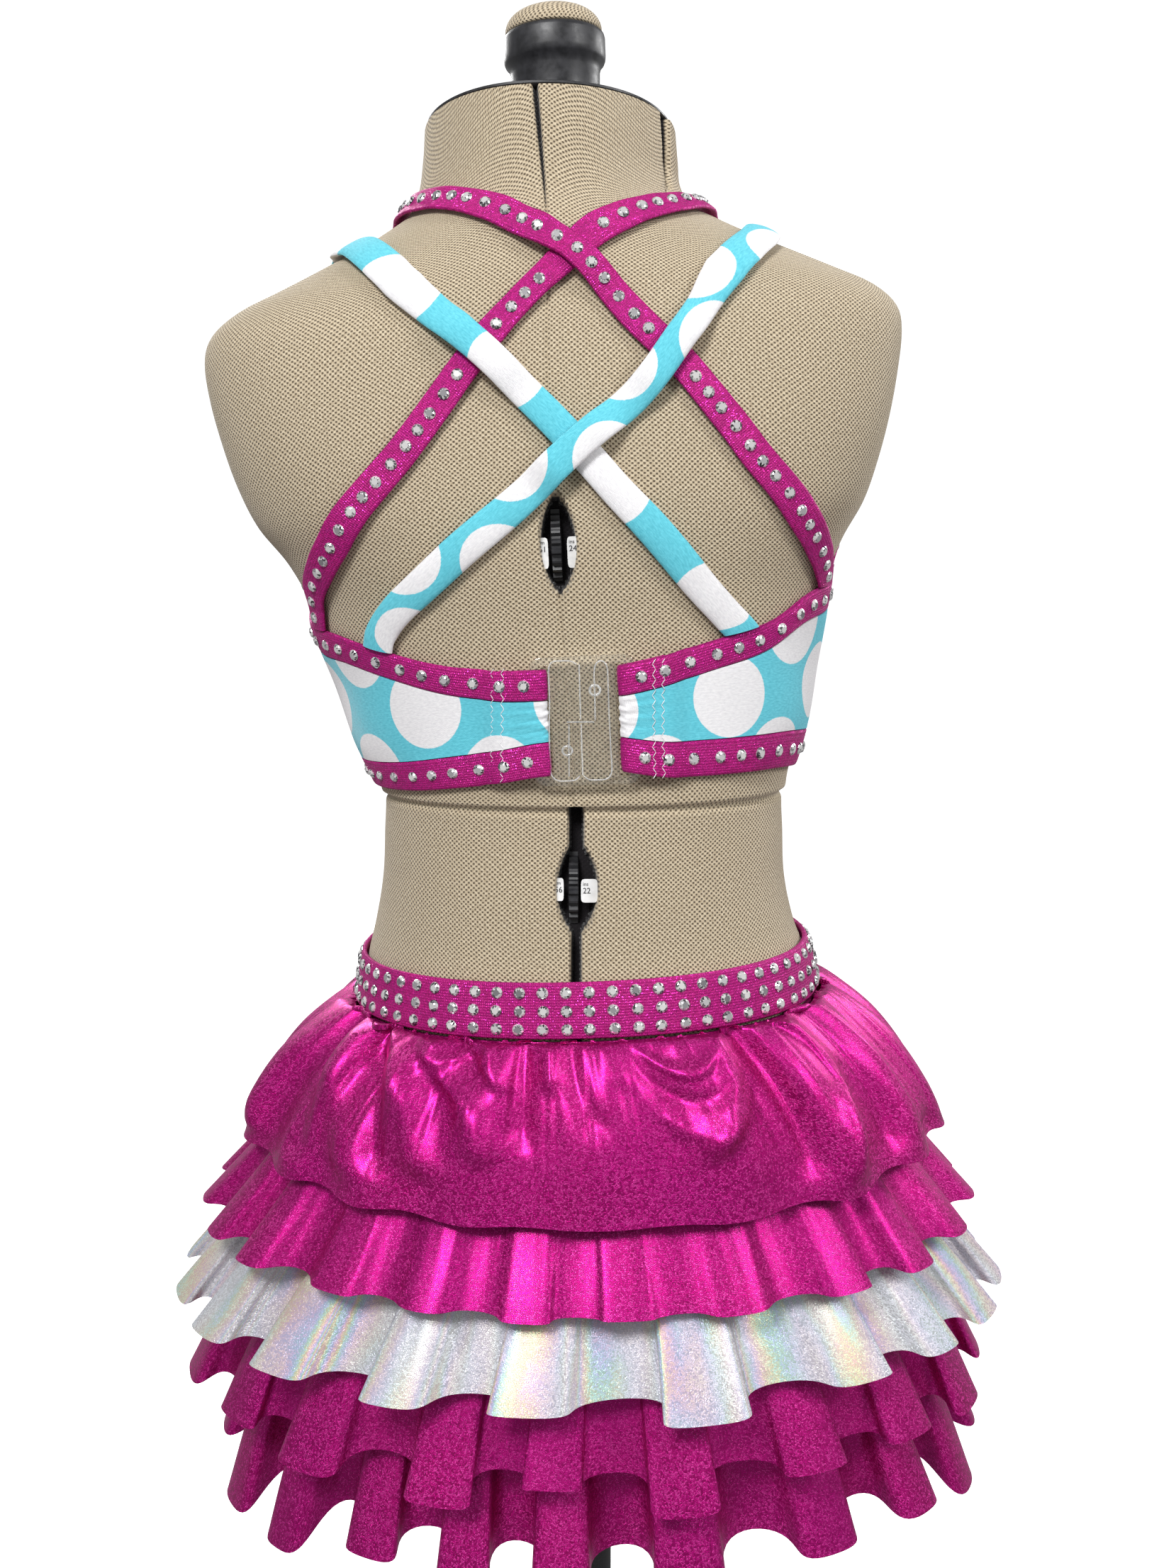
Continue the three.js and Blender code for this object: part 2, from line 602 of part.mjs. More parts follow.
// Turned parts of the form and its stand, each a profile of radius and height turned about the upright axis
function turned(name, profile, segments, material) {
  const outline = profile.map(([radius, height]) => new THREE.Vector2(radius, height));
  const geometry = new THREE.LatheGeometry(outline, segments).rotateX(Math.PI / 2);
  const mesh = new THREE.Mesh(geometry, material);
  mesh.name = name;
  return mesh;
}

function neckPlate(material) {
  const top = formRing(NECK_TOP_Z);
  const ring = { ...top, half: top.half - 1, back: top.back - 1, front: top.front - 1 };
  const foot = NECK_TOP_Z + SEAM_GAP;
  const heights = [foot, foot + NECK_PLATE_THICKNESS];
  const stack = heights.map((z) => formBearings.map((bearing) => neckCut(ringPoint(ring, bearing, z))));
  return stackedSolid("form_neck_plate", stack, material);
}

// A round solid along the neck's axis: rings of radius and height above a foot, the first ones cut to the plate
function neckTurned(name, profile, material) {
  const rings = profile.map(({ radius, z, onPlate }) =>
    Array.from({ length: KNOB_COLUMNS }, (_, i) => {
      const turn = (2 * Math.PI * i) / KNOB_COLUMNS;
      const point = new THREE.Vector3(radius * Math.cos(turn), radius * Math.sin(turn), z);
      return onPlate ? neckCut(point) : point;
    }),
  );
  return stackedSolid(name, rings, material);
}

function neckKnob(knobMaterial, padMaterial) {
  const foot = NECK_TOP_Z + NECK_PLATE_THICKNESS + 2 * SEAM_GAP;
  const top = KNOB_TOP_Z;
  const ringFoot = top - KNOB_RING_HEIGHT;
  const knob = neckTurned(
    "neck_knob",
    [
      { radius: KNOB_NECK_RADIUS, z: foot, onPlate: true },
      { radius: KNOB_NECK_RADIUS + 0.6, z: ringFoot - 6 },
      { radius: KNOB_RADIUS - 0.8, z: ringFoot - 1.5 },
      { radius: KNOB_RADIUS, z: ringFoot },
      { radius: KNOB_RADIUS, z: top - 1.2 },
      { radius: KNOB_RADIUS - 1.2, z: top },
    ],
    knobMaterial,
  );
  const padRings = spread(0, 1, PAD_RINGS).map((share) => {
    const turn = (Math.PI / 2) * share * PAD_LAST_RING;
    const height = PAD_HEIGHT * Math.sin(turn) ** 0.9;
    return { radius: PAD_RADIUS * Math.cos(turn) ** 0.8, z: top + SEAM_GAP + height };
  });
  return [knob, neckTurned("neck_knob_pad", padRings, padMaterial)];
}

function stand(material) {
  const base = turned(
    "stand_base",
    [
      [0, 0],
      [BASE_RADIUS - 1, 0],
      [BASE_RADIUS, 1],
      [BASE_RADIUS, BASE_THICKNESS - BASE_ROUNDING],
      [BASE_RADIUS - BASE_ROUNDING, BASE_THICKNESS],
      [0, BASE_THICKNESS],
    ],
    40,
    material,
  );
  const poleFoot = BASE_THICKNESS + SEAM_GAP;
  const poleTop = FORM_BOTTOM_Z - SEAM_GAP;
  const pole = turned(
    "stand_pole",
    [
      [0, poleFoot],
      [POLE_RADIUS + 8, poleFoot],
      [POLE_RADIUS + 8, poleFoot + 8],
      [POLE_RADIUS, poleFoot + 14],
      [POLE_RADIUS, poleTop],
      [0, poleTop],
    ],
    24,
    material,
  );
  return [base, pole];
}

// A spot on the form, moved along the form's surface by a distance around it and a distance up it
function movedAlong(spot, aroundBy, upBy) {
  const frame = formFrame(spot.at, spot.z);
  return { at: spot.at + aroundBy / frame.perDegree, z: spot.z + upBy / frame.perHeight };
}

// The spot a given width inside an edge, square to the edge, on the form's surface. Inside is below an upper edge.
function insideEdge(edgeAt, bearing, width) {
  const step = 1;
  const spot = { at: bearing, z: edgeAt(bearing) };
  const frame = formFrame(bearing, spot.z);
  const run = 2 * step * frame.perDegree;
  const rise = (edgeAt(bearing + step) - edgeAt(bearing - step)) * frame.perHeight;
  const length = Math.hypot(run, rise);
  return movedAlong(spot, (width * rise) / length, (-width * run) / length);
}

// A wall of the band: its columns run from a low spot to a high spot on the form
function formStrip(name, stations, lowAt, highAt, rows, thickness, material) {
  const grid = (side) => {
    const lines = [];
    for (let row = 0; row <= rows; row += 1) {
      lines.push(
        stations.map((station) => {
          const low = lowAt(station);
          const high = highAt(station);
          const spot = { at: mix(low.at, high.at, row / rows), z: mix(low.z, high.z, row / rows) };
          return onForm(spot.at, spot.z, BAND_LIFT + (side * thickness) / 2);
        }),
      );
    }
    return lines;
  };
  return wall(name, grid(1), grid(-1), false, material);
}

const edgeReader = (table, column) => (bearing) => readTable(table, "at", column, bearing);

// The front panel and its bindings. Bearings run downward, so that a wall's columns go round with the others.
function frontPieces(jersey, foil) {
  const seam = 0.25;
  const high = edgeReader(FRONT_EDGES, "high");
  const low = edgeReader(FRONT_EDGES, "low");
  const upperInside = (bearing, width) => insideEdge(high, bearing, width);
  const edgeSpot = (bearing) => ({ at: bearing, z: high(bearing) });
  const lowSpot = (rise) => (bearing) => ({ at: bearing, z: low(bearing) + rise });
  const stations = spread(270 - seam, 90 + seam, FRONT_STATIONS);
  const lowerStations = spread(270 - seam, 90 + seam, FRONT_STATIONS / 2);
  const panelLow = lowSpot(LOWER_BINDING_WIDTH + SEAM_GAP);
  const withinSeams = ({ at, z }) => ({ at: Math.min(270 - seam, Math.max(90 + seam, at)), z });
  const panelTop = (bearing) => withinSeams(upperInside(bearing, UPPER_BINDING_WIDTH + SEAM_GAP));
  const pieces = [
    formStrip("front_panel", stations, panelLow, panelTop, FRONT_PANEL_ROWS, JERSEY, jersey),
    formStrip("binding_lower_front", lowerStations, lowSpot(0), lowSpot(LOWER_BINDING_WIDTH), 1, BINDING, foil),
  ];
  const upperParts = [
    { name: "binding_armhole_left", from: ARMHOLE_END - seam, to: 90 + seam, count: 14 },
    { name: "binding_neckline", from: 360 - ARMHOLE_END - seam, to: ARMHOLE_END + seam, count: 20 },
    { name: "binding_armhole_right", from: 270 - seam, to: 360 - ARMHOLE_END + seam, count: 14 },
  ];
  for (const part of upperParts) {
    const inside = (bearing) => withinSeams(upperInside(bearing, UPPER_BINDING_WIDTH));
    const partStations = spread(part.from, part.to, part.count);
    pieces.push(formStrip(part.name, partStations, inside, edgeSpot, 1, BINDING, foil));
  }
  return pieces;
}

// The path of a back wing seen from above, from its turned-back end round the clasp's bar and out to the side
// seam: x across the centre back and the lift of the cloth's middle.
function wingPath() {
  const underLift = BAND_LIFT;
  const overLift = CLASP_INNER_LIFT + CLASP_BAR + CLASP_CLEARANCE + BINDING / 2;
  const radius = (overLift - underLift) / 2;
  const path = [
    { x: TURNED_BACK_X, lift: underLift },
    { x: (TURNED_BACK_X + TURN_X) / 2, lift: underLift },
  ];
  const turnSteps = 6;
  for (let i = 0; i <= turnSteps; i += 1) {
    const turn = (Math.PI * i) / turnSteps;
    path.push({ x: TURN_X - radius * Math.sin(turn), lift: underLift + radius * (1 - Math.cos(turn)) });
  }
  path.push({ x: 23, lift: overLift }, { x: 29, lift: overLift - 1.2 });
  path.push({ x: TURNED_BACK_X + 1, lift: underLift + BINDING + SEAM_GAP + 0.4 });
  path.push({ x: TURNED_BACK_X + 8, lift: underLift + 0.4 });
  return path;
}

// The bearing on the form's back of the point that lies at x, at height z
function bearingOf(x, z) {
  const ring = formRing(z);
  const offset = x - ring.side;
  const ratio = Math.abs(ring.half / offset) ** ring.square - 1;
  return Math.sign(offset) * (90 - THREE.MathUtils.radToDeg(Math.atan(ratio ** (1 / ring.square))));
}

// One piece of a wing: a wall along the wing's path between two heights, mirrored to the other side by `side`
function wingPiece(name, side, lowAt, highAt, rows, thickness, material) {
  const path = wingPath();
  const farBearings = spread(26, 90 - 0.25, WING_STATIONS);
  const tangentOf = (i) => {
    const before = path[Math.max(0, i - 1)];
    const after = path[Math.min(path.length - 1, i + 1)];
    const length = Math.hypot(after.x - before.x, after.lift - before.lift);
    return { x: (after.x - before.x) / length, lift: (after.lift - before.lift) / length };
  };
  const layer = (offset) => {
    const lines = [];
    for (let row = 0; row <= rows; row += 1) {
      const share = row / rows;
      const heightAt = (bearing) => mix(lowAt(Math.abs(bearing)), highAt(Math.abs(bearing)), share);
      const near = path.map((spot, i) => {
        const tangent = tangentOf(i);
        const x = side * (spot.x - tangent.lift * offset);
        const firstGuess = bearingOf(x, CLASP_STEP_Z);
        const z = heightAt(firstGuess);
        return onForm(bearingOf(x, z), z, spot.lift + tangent.x * offset);
      });
      const far = farBearings.map((bearing) => onForm(side * bearing, heightAt(bearing), BAND_LIFT + offset));
      const line = [...near, ...far];
      lines.push(side > 0 ? line.reverse() : line);
    }
    return lines;
  };
  return wall(name, layer(thickness / 2), layer(-thickness / 2), false, material);
}

function backPieces(jersey, foil) {
  const wings = [
    { label: "left", side: 1, table: LEFT_WING_EDGES },
    { label: "right", side: -1, table: RIGHT_WING_EDGES },
  ];
  return wings.flatMap(({ label, side, table }) => {
    const high = edgeReader(table, "high");
    const low = edgeReader(table, "low");
    const above = (edge, distance) => (bearing) => edge(bearing) + distance;
    const panelLow = above(low, LOWER_BINDING_WIDTH + SEAM_GAP);
    const panelHigh = above(high, -UPPER_BINDING_WIDTH - SEAM_GAP);
    return [
      wingPiece("back_wing_" + label, side, panelLow, panelHigh, 2, JERSEY, jersey),
      wingPiece("binding_upper_back_" + label, side, above(high, -UPPER_BINDING_WIDTH), high, 1, BINDING, foil),
      wingPiece("binding_lower_back_" + label, side, low, above(low, LOWER_BINDING_WIDTH), 1, BINDING, foil),
    ];
  });
}

// A strap's route on the form: the spot at a given distance from its start, read from a finely measured table
function strapRoute(strap) {
  const rows = strap.route.map((spot, index) => ({ index, at: spot.at, z: spot.z }));
  const last = rows[rows.length - 1];
  rows[0].z = strap.startEdge(rows[0].at) + STRAP_END_GAP;
  last.z = strap.endEdge(last.at) + STRAP_END_GAP;
  const rulers = [];
  let far = 0;
  let before = null;
  for (const index of spread(0, last.index, last.index * 8)) {
    const spot = { at: readTable(rows, "index", "at", index), z: readTable(rows, "index", "z", index) };
    const point = onForm(spot.at, spot.z, 0);
    far += before ? point.distanceTo(before) : 0;
    rulers.push({ far, point, ...spot });
    before = point;
  }
  return { rulers, total: far };
}

// The distance along the upper strap at which it lies nearest to the lower strap
function crossingAt(upper, lower) {
  let nearest = Infinity;
  let far = 0;
  for (const ruler of upper.rulers) {
    for (const other of lower.rulers) {
      const distance = ruler.point.distanceTo(other.point);
      if (distance < nearest) {
        nearest = distance;
        far = ruler.far;
      }
    }
  }
  return far;
}

// A strap is a flat rounded tube that follows the form, lifted where it lies on another strap. Each end is cut
// along the edge that it is sewn to.
function strapMesh(strap, crossings) {
  const { rulers, total } = strap.path;
  const read = (column, far) => readTable(rulers, "far", column, far);
  const edgeSlope = (edge, at, frame) => ((edge(at + 1) - edge(at - 1)) * frame.perHeight) / (2 * frame.perDegree);
  const rings = spread(0, total, STRAP_STEPS).map((far) => {
    const spot = { at: read("at", far), z: read("z", far) };
    const frame = formFrame(spot.at, spot.z);
    const step = Math.min(1, total - far);
    const back = Math.min(1, far);
    let around = (read("at", far + step) - read("at", far - back)) * frame.perDegree;
    let up = (read("z", far + step) - read("z", far - back)) * frame.perHeight;
    const length = Math.hypot(around, up);
    around /= length;
    up /= length;
    let side = { around: up, up: -around };
    const nearStart = far < total / 2;
    const edge = nearStart ? strap.startEdge : strap.endEdge;
    const slope = edgeSlope(edge, spot.at, frame);
    const cutLength = Math.abs(up - slope * around);
    const cut = { around: Math.sign(up) / cutLength, up: (slope * Math.sign(up)) / cutLength };
    const share = 1 - smooth(Math.min(far, total - far) / strap.width);
    side = { around: mix(side.around, cut.around, share), up: mix(side.up, cut.up, share) };
    const raised = crossings.map((crossing) => {
      const beyond = Math.abs(far - crossing.far) - CROSSING_FLAT;
      return crossing.height * (1 - smooth(beyond / CROSSING_RAMP));
    });
    const lift = strap.gap + strap.thickness / 2 + Math.max(0, ...raised);
    return STRAP_SECTION.map(({ across, through }) => {
      const width = across * strap.width;
      const place = movedAlong(spot, side.around * width, side.up * width);
      return onForm(place.at, place.z, lift + through * strap.thickness);
    });
  });
  return stackedSolid(strap.name, rings, strap.material);
}

// The four straps; each lies under the next ones that it meets.
function strapPieces(foil, jersey) {
  const wingEdge = (table) => (at) => readTable(table, "at", "high", Math.abs(at));
  const frontEdge = (at) => readTable(FRONT_EDGES, "at", "high", at < 0 ? at + 360 : at);
  const leftEdge = wingEdge(LEFT_WING_EDGES);
  const rightEdge = wingEdge(RIGHT_WING_EDGES);
  const straps = [
    { name: "strap_halter_left", route: HALTER_LEFT_ROUTE, startEdge: leftEdge, ...HALTER, material: foil },
    { name: "strap_halter_right", route: HALTER_RIGHT_ROUTE, startEdge: rightEdge, ...HALTER, material: foil },
    { name: "strap_cross_left", route: CROSS_LEFT_ROUTE, startEdge: rightEdge, ...CROSS, material: jersey },
    { name: "strap_cross_right", route: CROSS_RIGHT_ROUTE, startEdge: leftEdge, ...CROSS, material: jersey },
  ];
  for (const strap of straps) {
    strap.endEdge = frontEdge;
    strap.path = strapRoute(strap);
  }
  const [halterLeft, halterRight, crossLeft, crossRight] = straps;
  const over = new Map([
    [halterLeft, []],
    [halterRight, [halterLeft]],
    [crossLeft, [halterLeft]],
    [crossRight, [halterRight, crossLeft]],
  ]);
  return straps.map((strap) => {
    const crossings = over.get(strap).map((lower) => ({
      far: crossingAt(strap.path, lower.path),
      height: lower.gap + lower.thickness + CROSSING_CLEARANCE - strap.gap,
    }));
    return strapMesh(strap, crossings);
  });
}

// One half of the clasp: a plate with a slot for the cloth, whose inner edge steps past the middle in its upper or
// lower half so that the two halves hook into each other. The plate is bent to the form.
function claspHalf(name, side, material) {
  const middle = side * CLASP_GAP / 2;
  const upper = middle - CLASP_STEP;
  const lower = middle + CLASP_STEP;
  const stepZ = CLASP_STEP_Z + side * CLASP_GAP / 2;
  const outline = new THREE.Shape();
  outline.moveTo(side > 0 ? lower : upper, side > 0 ? CLASP_BOTTOM_Z : CLASP_TOP_Z);
  const corner = (x, z, startTurn) => {
    for (let i = 0; i <= CLASP_CORNER_STEPS; i += 1) {
      const turn = radians(startTurn + (90 * i) / CLASP_CORNER_STEPS);
      outline.lineTo(x + CLASP_CORNER * Math.cos(turn), z + CLASP_CORNER * Math.sin(turn));
    }
  };
  if (side > 0) {
    corner(CLASP_EAR - CLASP_CORNER, CLASP_BOTTOM_Z + CLASP_CORNER, 270);
    corner(CLASP_EAR - CLASP_CORNER, CLASP_TOP_Z - CLASP_CORNER, 0);
    outline.lineTo(upper, CLASP_TOP_Z);
    outline.lineTo(upper, stepZ);
    outline.lineTo(lower, stepZ);
  } else {
    corner(-CLASP_EAR + CLASP_CORNER, CLASP_TOP_Z - CLASP_CORNER, 90);
    corner(-CLASP_EAR + CLASP_CORNER, CLASP_BOTTOM_Z + CLASP_CORNER, 180);
    outline.lineTo(lower, CLASP_BOTTOM_Z);
    outline.lineTo(lower, stepZ);
    outline.lineTo(upper, stepZ);
  }
  const slot = new THREE.Path();
  const slotLow = CLASP_BOTTOM_Z + CLASP_ARM;
  const slotHigh = CLASP_TOP_Z - CLASP_ARM;
  slot.moveTo(side * CLASP_SLOT.from, slotLow);
  slot.lineTo(side * CLASP_SLOT.to, slotLow);
  slot.lineTo(side * CLASP_SLOT.to, slotHigh);
  slot.lineTo(side * CLASP_SLOT.from, slotHigh);
  outline.holes.push(slot);
  const plate = new THREE.ExtrudeGeometry(outline, { depth: CLASP_BAR, bevelEnabled: false });
  const places = plate.getAttribute("position");
  for (let i = 0; i < places.count; i += 1) {
    const x = places.getX(i);
    const z = places.getY(i);
    const lift = CLASP_INNER_LIFT + CLASP_BAR - places.getZ(i);
    const bent = lean(onForm(bearingOf(x, z), z, lift));
    places.setXYZ(i, bent.x, bent.y, bent.z);
  }
  plate.computeVertexNormals();
  const mesh = new THREE.Mesh(plate, material);
  mesh.name = name;
  return mesh;
}

// The skirt sits a little lower on the wearer's left; the tilt fades out towards the hem.
function tilted(z, bearing) {
  const share = clamp01((z - SKIRT_TILT_FOOT) / SKIRT_TILT_RUN);
  return z - SKIRT_TILT * share * Math.sin(radians(bearing));
}

function waistband(material) {
  const bearings = spread(360, 0, WAISTBAND_COLUMNS).slice(0, -1);
  const layer = (lift) =>
    [WAISTBAND_LOW_Z, (WAISTBAND_LOW_Z + WAISTBAND_HIGH_Z) / 2, WAISTBAND_HIGH_Z].map((z) =>
      bearings.map((bearing) => onForm(bearing, tilted(z, bearing), lift)),
    );
  return wall("waistband", layer(BODY_GAP + WAISTBAND_CLOTH), layer(BODY_GAP), true, material);
}

function baseSkirt(material) {
  const bearings = spread(360, 0, BASE_SKIRT_COLUMNS).slice(0, -1);
  const layer = (inward) =>
    [...BASE_SKIRT_RINGS].reverse().map((ring) => {
      const moved = { ...ring, half: ring.half - inward, back: ring.back - inward, front: ring.front - inward };
      return bearings.map((bearing) => ringPoint(moved, bearing, tilted(ring.z, bearing)));
    });
  return wall("skirt_base", layer(0), layer(BASE_CLOTH), true, material);
}

// The columns of a tier: each fold gives evenly spaced columns from its crest to the next one's.
function foldColumns(folds, perFold) {
  const columns = [];
  folds.forEach((from, i) => {
    const next = folds[(i + 1) % folds.length];
    const turn = i + 1 < folds.length ? 0 : 360;
    for (let step = 0; step < perFold; step += 1) {
      const share = step / perFold;
      const phase = 2 * Math.PI * share;
      const blend = smooth(share);
      const wave = Math.cos(phase);
      const fallen = (mix(from.lean, next.lean, blend) * (1 + wave)) / 2;
      columns.push({
        at: mix(from.at, next.at + turn, share),
        out: mix(from.out, next.out, blend) * wave,
        drop: (mix(from.drop, next.drop, blend) * (1 + wave)) / 2,
        shift: mix(from.curl, next.curl, blend) * Math.sin(2 * phase) + fallen,
      });
    }
  });
  return columns.reverse();
}

// A tier is a gathered wall: rings from the hem up to the seam, each pushed in and out by the folds.
function tier(index, material) {
  const rings = [...TIER_RINGS[index]].reverse();
  const columns = foldColumns(TIER_FOLDS[index], COLUMNS_PER_FOLD[index]);
  const seamZ = rings[rings.length - 1].z;
  const hemZ = rings[0].z;
  const outer = rings.map((ring) =>
    columns.map((column) => {
      const around = Math.sin(radians(column.at));
      const hang = ((seamZ - ring.z) / (seamZ - hemZ)) ** 2;
      const z = tilted(ring.z, column.at) + ring.rise * around * around - column.drop * hang;
      const point = ringPoint(ring, column.at, z);
      const ahead = ringPoint(ring, column.at + 0.5, z);
      const tangent = ahead.sub(ringPoint(ring, column.at - 0.5, z)).normalize();
      const outward = new THREE.Vector3(-tangent.y, tangent.x, 0);
      point.addScaledVector(outward, column.out * ring.fold);
      return point.addScaledVector(tangent, column.shift * ring.fold);
    }),
  );
  return wall("tier_" + (index + 1), outer, insideOf(outer, TIER_CLOTH), true, material);
}

// The inner face of a ring-shaped wall: every point moved in along the surface's own normal.
function insideOf(outer, thickness) {
  const rows = outer.length;
  const columns = outer[0].length;
  return outer.map((line, row) =>
    line.map((point, column) => {
      const before = line[(column + columns - 1) % columns];
      const after = line[(column + 1) % columns];
      const below = outer[Math.max(0, row - 1)][column];
      const above = outer[Math.min(rows - 1, row + 1)][column];
      const around = after.clone().sub(before);
      const up = above.clone().sub(below);
      const normal = around.cross(up).normalize();
      return point.clone().addScaledVector(normal, -thickness);
    }),
  );
}

const finish = (color, roughness, metalness) => new THREE.MeshStandardMaterial({ color, roughness, metalness });
const magentaFoil = finish(MAGENTA, 0.35, 0.6);
const whiteFoil = finish(HOLO, 0.25, 0.6);
const jersey = finish(AQUA, 0.8, 0);
const knit = finish(KNIT, 0.95, 0);
const blackPlastic = finish(BLACK, 0.5, 0);
const clearPlastic = finish(CLEAR, 0.1, 0);
const tierMaterials = [magentaFoil, magentaFoil, whiteFoil, magentaFoil, magentaFoil];

const costume = new THREE.Group();
costume.add(formBody(knit), neckPlate(blackPlastic), ...neckKnob(blackPlastic, knit), ...stand(blackPlastic));
costume.add(...frontPieces(jersey, magentaFoil), ...backPieces(jersey, magentaFoil));
costume.add(...strapPieces(magentaFoil, jersey));
costume.add(claspHalf("clasp_left", 1, clearPlastic), claspHalf("clasp_right", -1, clearPlastic));
costume.add(waistband(magentaFoil), baseSkirt(magentaFoil));
tierMaterials.forEach((material, index) => costume.add(tier(index, material)));

export default costume;
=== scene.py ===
# %% [markdown]
# A child's two-piece dance costume on a dress form, dressed on the frame that the CAD part gives. The
# frame is loaded first, because every cloth surface below repeats the CAD part's own rings and routes,
# only finer. Lengths are in millimetres while a shape is worked out and turn to metres when a mesh is
# made.

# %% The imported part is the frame
import math
import bmesh
import bpy
import numpy as np
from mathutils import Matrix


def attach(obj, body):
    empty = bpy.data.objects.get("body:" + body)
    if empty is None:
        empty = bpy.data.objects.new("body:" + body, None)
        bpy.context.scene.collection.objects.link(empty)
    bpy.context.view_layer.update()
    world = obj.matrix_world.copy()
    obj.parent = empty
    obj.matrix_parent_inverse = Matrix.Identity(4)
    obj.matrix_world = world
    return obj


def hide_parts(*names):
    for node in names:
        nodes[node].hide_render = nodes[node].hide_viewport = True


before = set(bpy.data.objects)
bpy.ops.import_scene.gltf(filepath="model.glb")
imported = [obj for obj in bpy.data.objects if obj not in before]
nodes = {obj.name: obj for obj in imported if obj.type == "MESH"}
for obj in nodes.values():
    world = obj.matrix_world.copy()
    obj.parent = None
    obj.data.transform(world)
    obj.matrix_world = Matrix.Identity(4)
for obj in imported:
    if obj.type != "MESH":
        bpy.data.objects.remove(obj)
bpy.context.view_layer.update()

# %% [markdown]
# The photo is taken from behind the form, a little above its waist. A camera could be placed by eye, but
# its place follows from how the form's known heights and the skirt's hems lie in the photo, so the fitted
# numbers are used: about 0.69 m behind the stand's axis, pitched a little down, with a lens of 2100
# pixels for a picture 2212 high.

# %% Camera
CAMERA_BEHIND = 0.693
CAMERA_HEIGHT = 0.644
CAMERA_PITCH = 7.568
PHOTO_HEIGHT = 2212
FOCAL_PIXELS = 2100
camera_data = bpy.data.cameras.new("camera")
camera_data.sensor_fit = "AUTO"
camera_data.sensor_width = 36
camera_data.lens = camera_data.sensor_width * FOCAL_PIXELS / PHOTO_HEIGHT
camera = bpy.data.objects.new("camera", camera_data)
camera.location = (0, CAMERA_BEHIND, CAMERA_HEIGHT)
camera.rotation_euler = (math.radians(90 - CAMERA_PITCH), 0, math.pi)
bpy.context.scene.collection.objects.link(camera)
bpy.context.scene.camera = camera
print("lens", round(camera_data.lens, 2), "mm")

# %% [markdown]
# A dress form has no straight lines, and its cloth follows it everywhere. It could be sculpted, but then
# nothing would fit the CAD solids. Here it is a stack of rounded rings, each with its own width, depths
# and squareness, read as a smooth curve between the rows of one short table. A place on it is a bearing
# from the centre back and a height.

# %% Reading a table as a smooth curve
def read_table(rows, place, key=0):
    """Every column of a table at each place along its key column: a cubic between two rows, whose slope
    at a row is the slope of the straight line between that row's neighbours."""
    ruler = rows[:, key]
    slope = np.empty_like(rows)
    slope[1:-1] = (rows[2:] - rows[:-2]) / (ruler[2:] - ruler[:-2])[:, None]
    slope[0] = (rows[1] - rows[0]) / (ruler[1] - ruler[0])
    slope[-1] = (rows[-1] - rows[-2]) / (ruler[-1] - ruler[-2])
    spot = np.clip(np.asarray(place, float), ruler[0], ruler[-1])
    row = np.clip(np.searchsorted(ruler, spot) - 1, 0, len(ruler) - 2)
    span = (ruler[row + 1] - ruler[row])[..., None]
    t = (spot - ruler[row])[..., None] / span
    start = (2 * t**3 - 3 * t**2 + 1) * rows[row] + (t**3 - 2 * t**2 + t) * slope[row] * span
    return start + (3 * t**2 - 2 * t**3) * rows[row + 1] + (t**3 - t**2) * slope[row + 1] * span


def smooth(t):
    """Goes from 0 to 1 with level ends: t squared times three minus two t, with t held between 0 and
    1."""
    t = np.clip(t, 0, 1)
    return t * t * (3 - 2 * t)


def unit(vectors):
    """Each vector divided by its own length."""
    return vectors / np.linalg.norm(vectors, axis=-1, keepdims=True)


# %% The form's rings
# Columns: height, half width, depth behind, depth before, squareness, shift to the wearer's left
FORM_RINGS = np.array([
    [290, 98, 84, 79, 2.2, 0],
    [296, 106, 92, 87, 2.2, 0],
    [320, 110, 95, 90, 2.2, 0],
    [360, 112, 97, 93, 2.2, 0],
    [400, 111.5, 96, 94, 2.2, 0],
    [430, 109, 93, 93, 2.2, 0],
    [456, 105.5, 89, 91, 2.2, 0],
    [475, 102.5, 85.5, 88, 2.2, 0.5],
    [490, 98, 81.5, 85, 2.2, 1.5],
    [511, 94, 78, 82, 2.2, 2],
    [533, 94, 75.5, 80, 2.2, 2],
    [556, 94.5, 74, 78, 2.2, 2],
    [580, 103, 73, 77, 2.2, 2],
    [605, 108.5, 73, 76, 2.2, 3],
    [627, 114.5, 73, 76, 2.3, 4.5],
    [643, 118, 74, 76, 2.4, 5],
    [660, 125.5, 75, 76, 2.6, 5.5],
    [676, 136, 75, 75, 2.8, 6.5],
    [693, 143, 74, 73, 2.9, 7],
    [712, 148.5, 72, 70, 3, 7],
    [733, 153, 69, 67, 3, 7],
    [750, 154.8, 66, 63, 2.9, 6.5],
    [760, 152, 63.5, 59, 2.8, 5.5],
    [769, 142, 61.5, 56, 2.6, 4.5],
    [776, 127.5, 60, 53, 2.4, 4],
    [783, 112, 58, 50, 2.3, 4],
    [792, 92, 56, 47, 2.2, 4.5],
    [800, 76, 53, 45, 2.15, 5],
    [808, 64, 50, 44, 2.1, 5.5],
    [820, 58, 48, 43, 2.1, 5.5],
    [836, 56, 47, 42, 2.1, 4.5],
    [850, 55, 46, 42, 2.1, 4],
])
FORM_BOTTOM = 290
NECK_TOP = 850


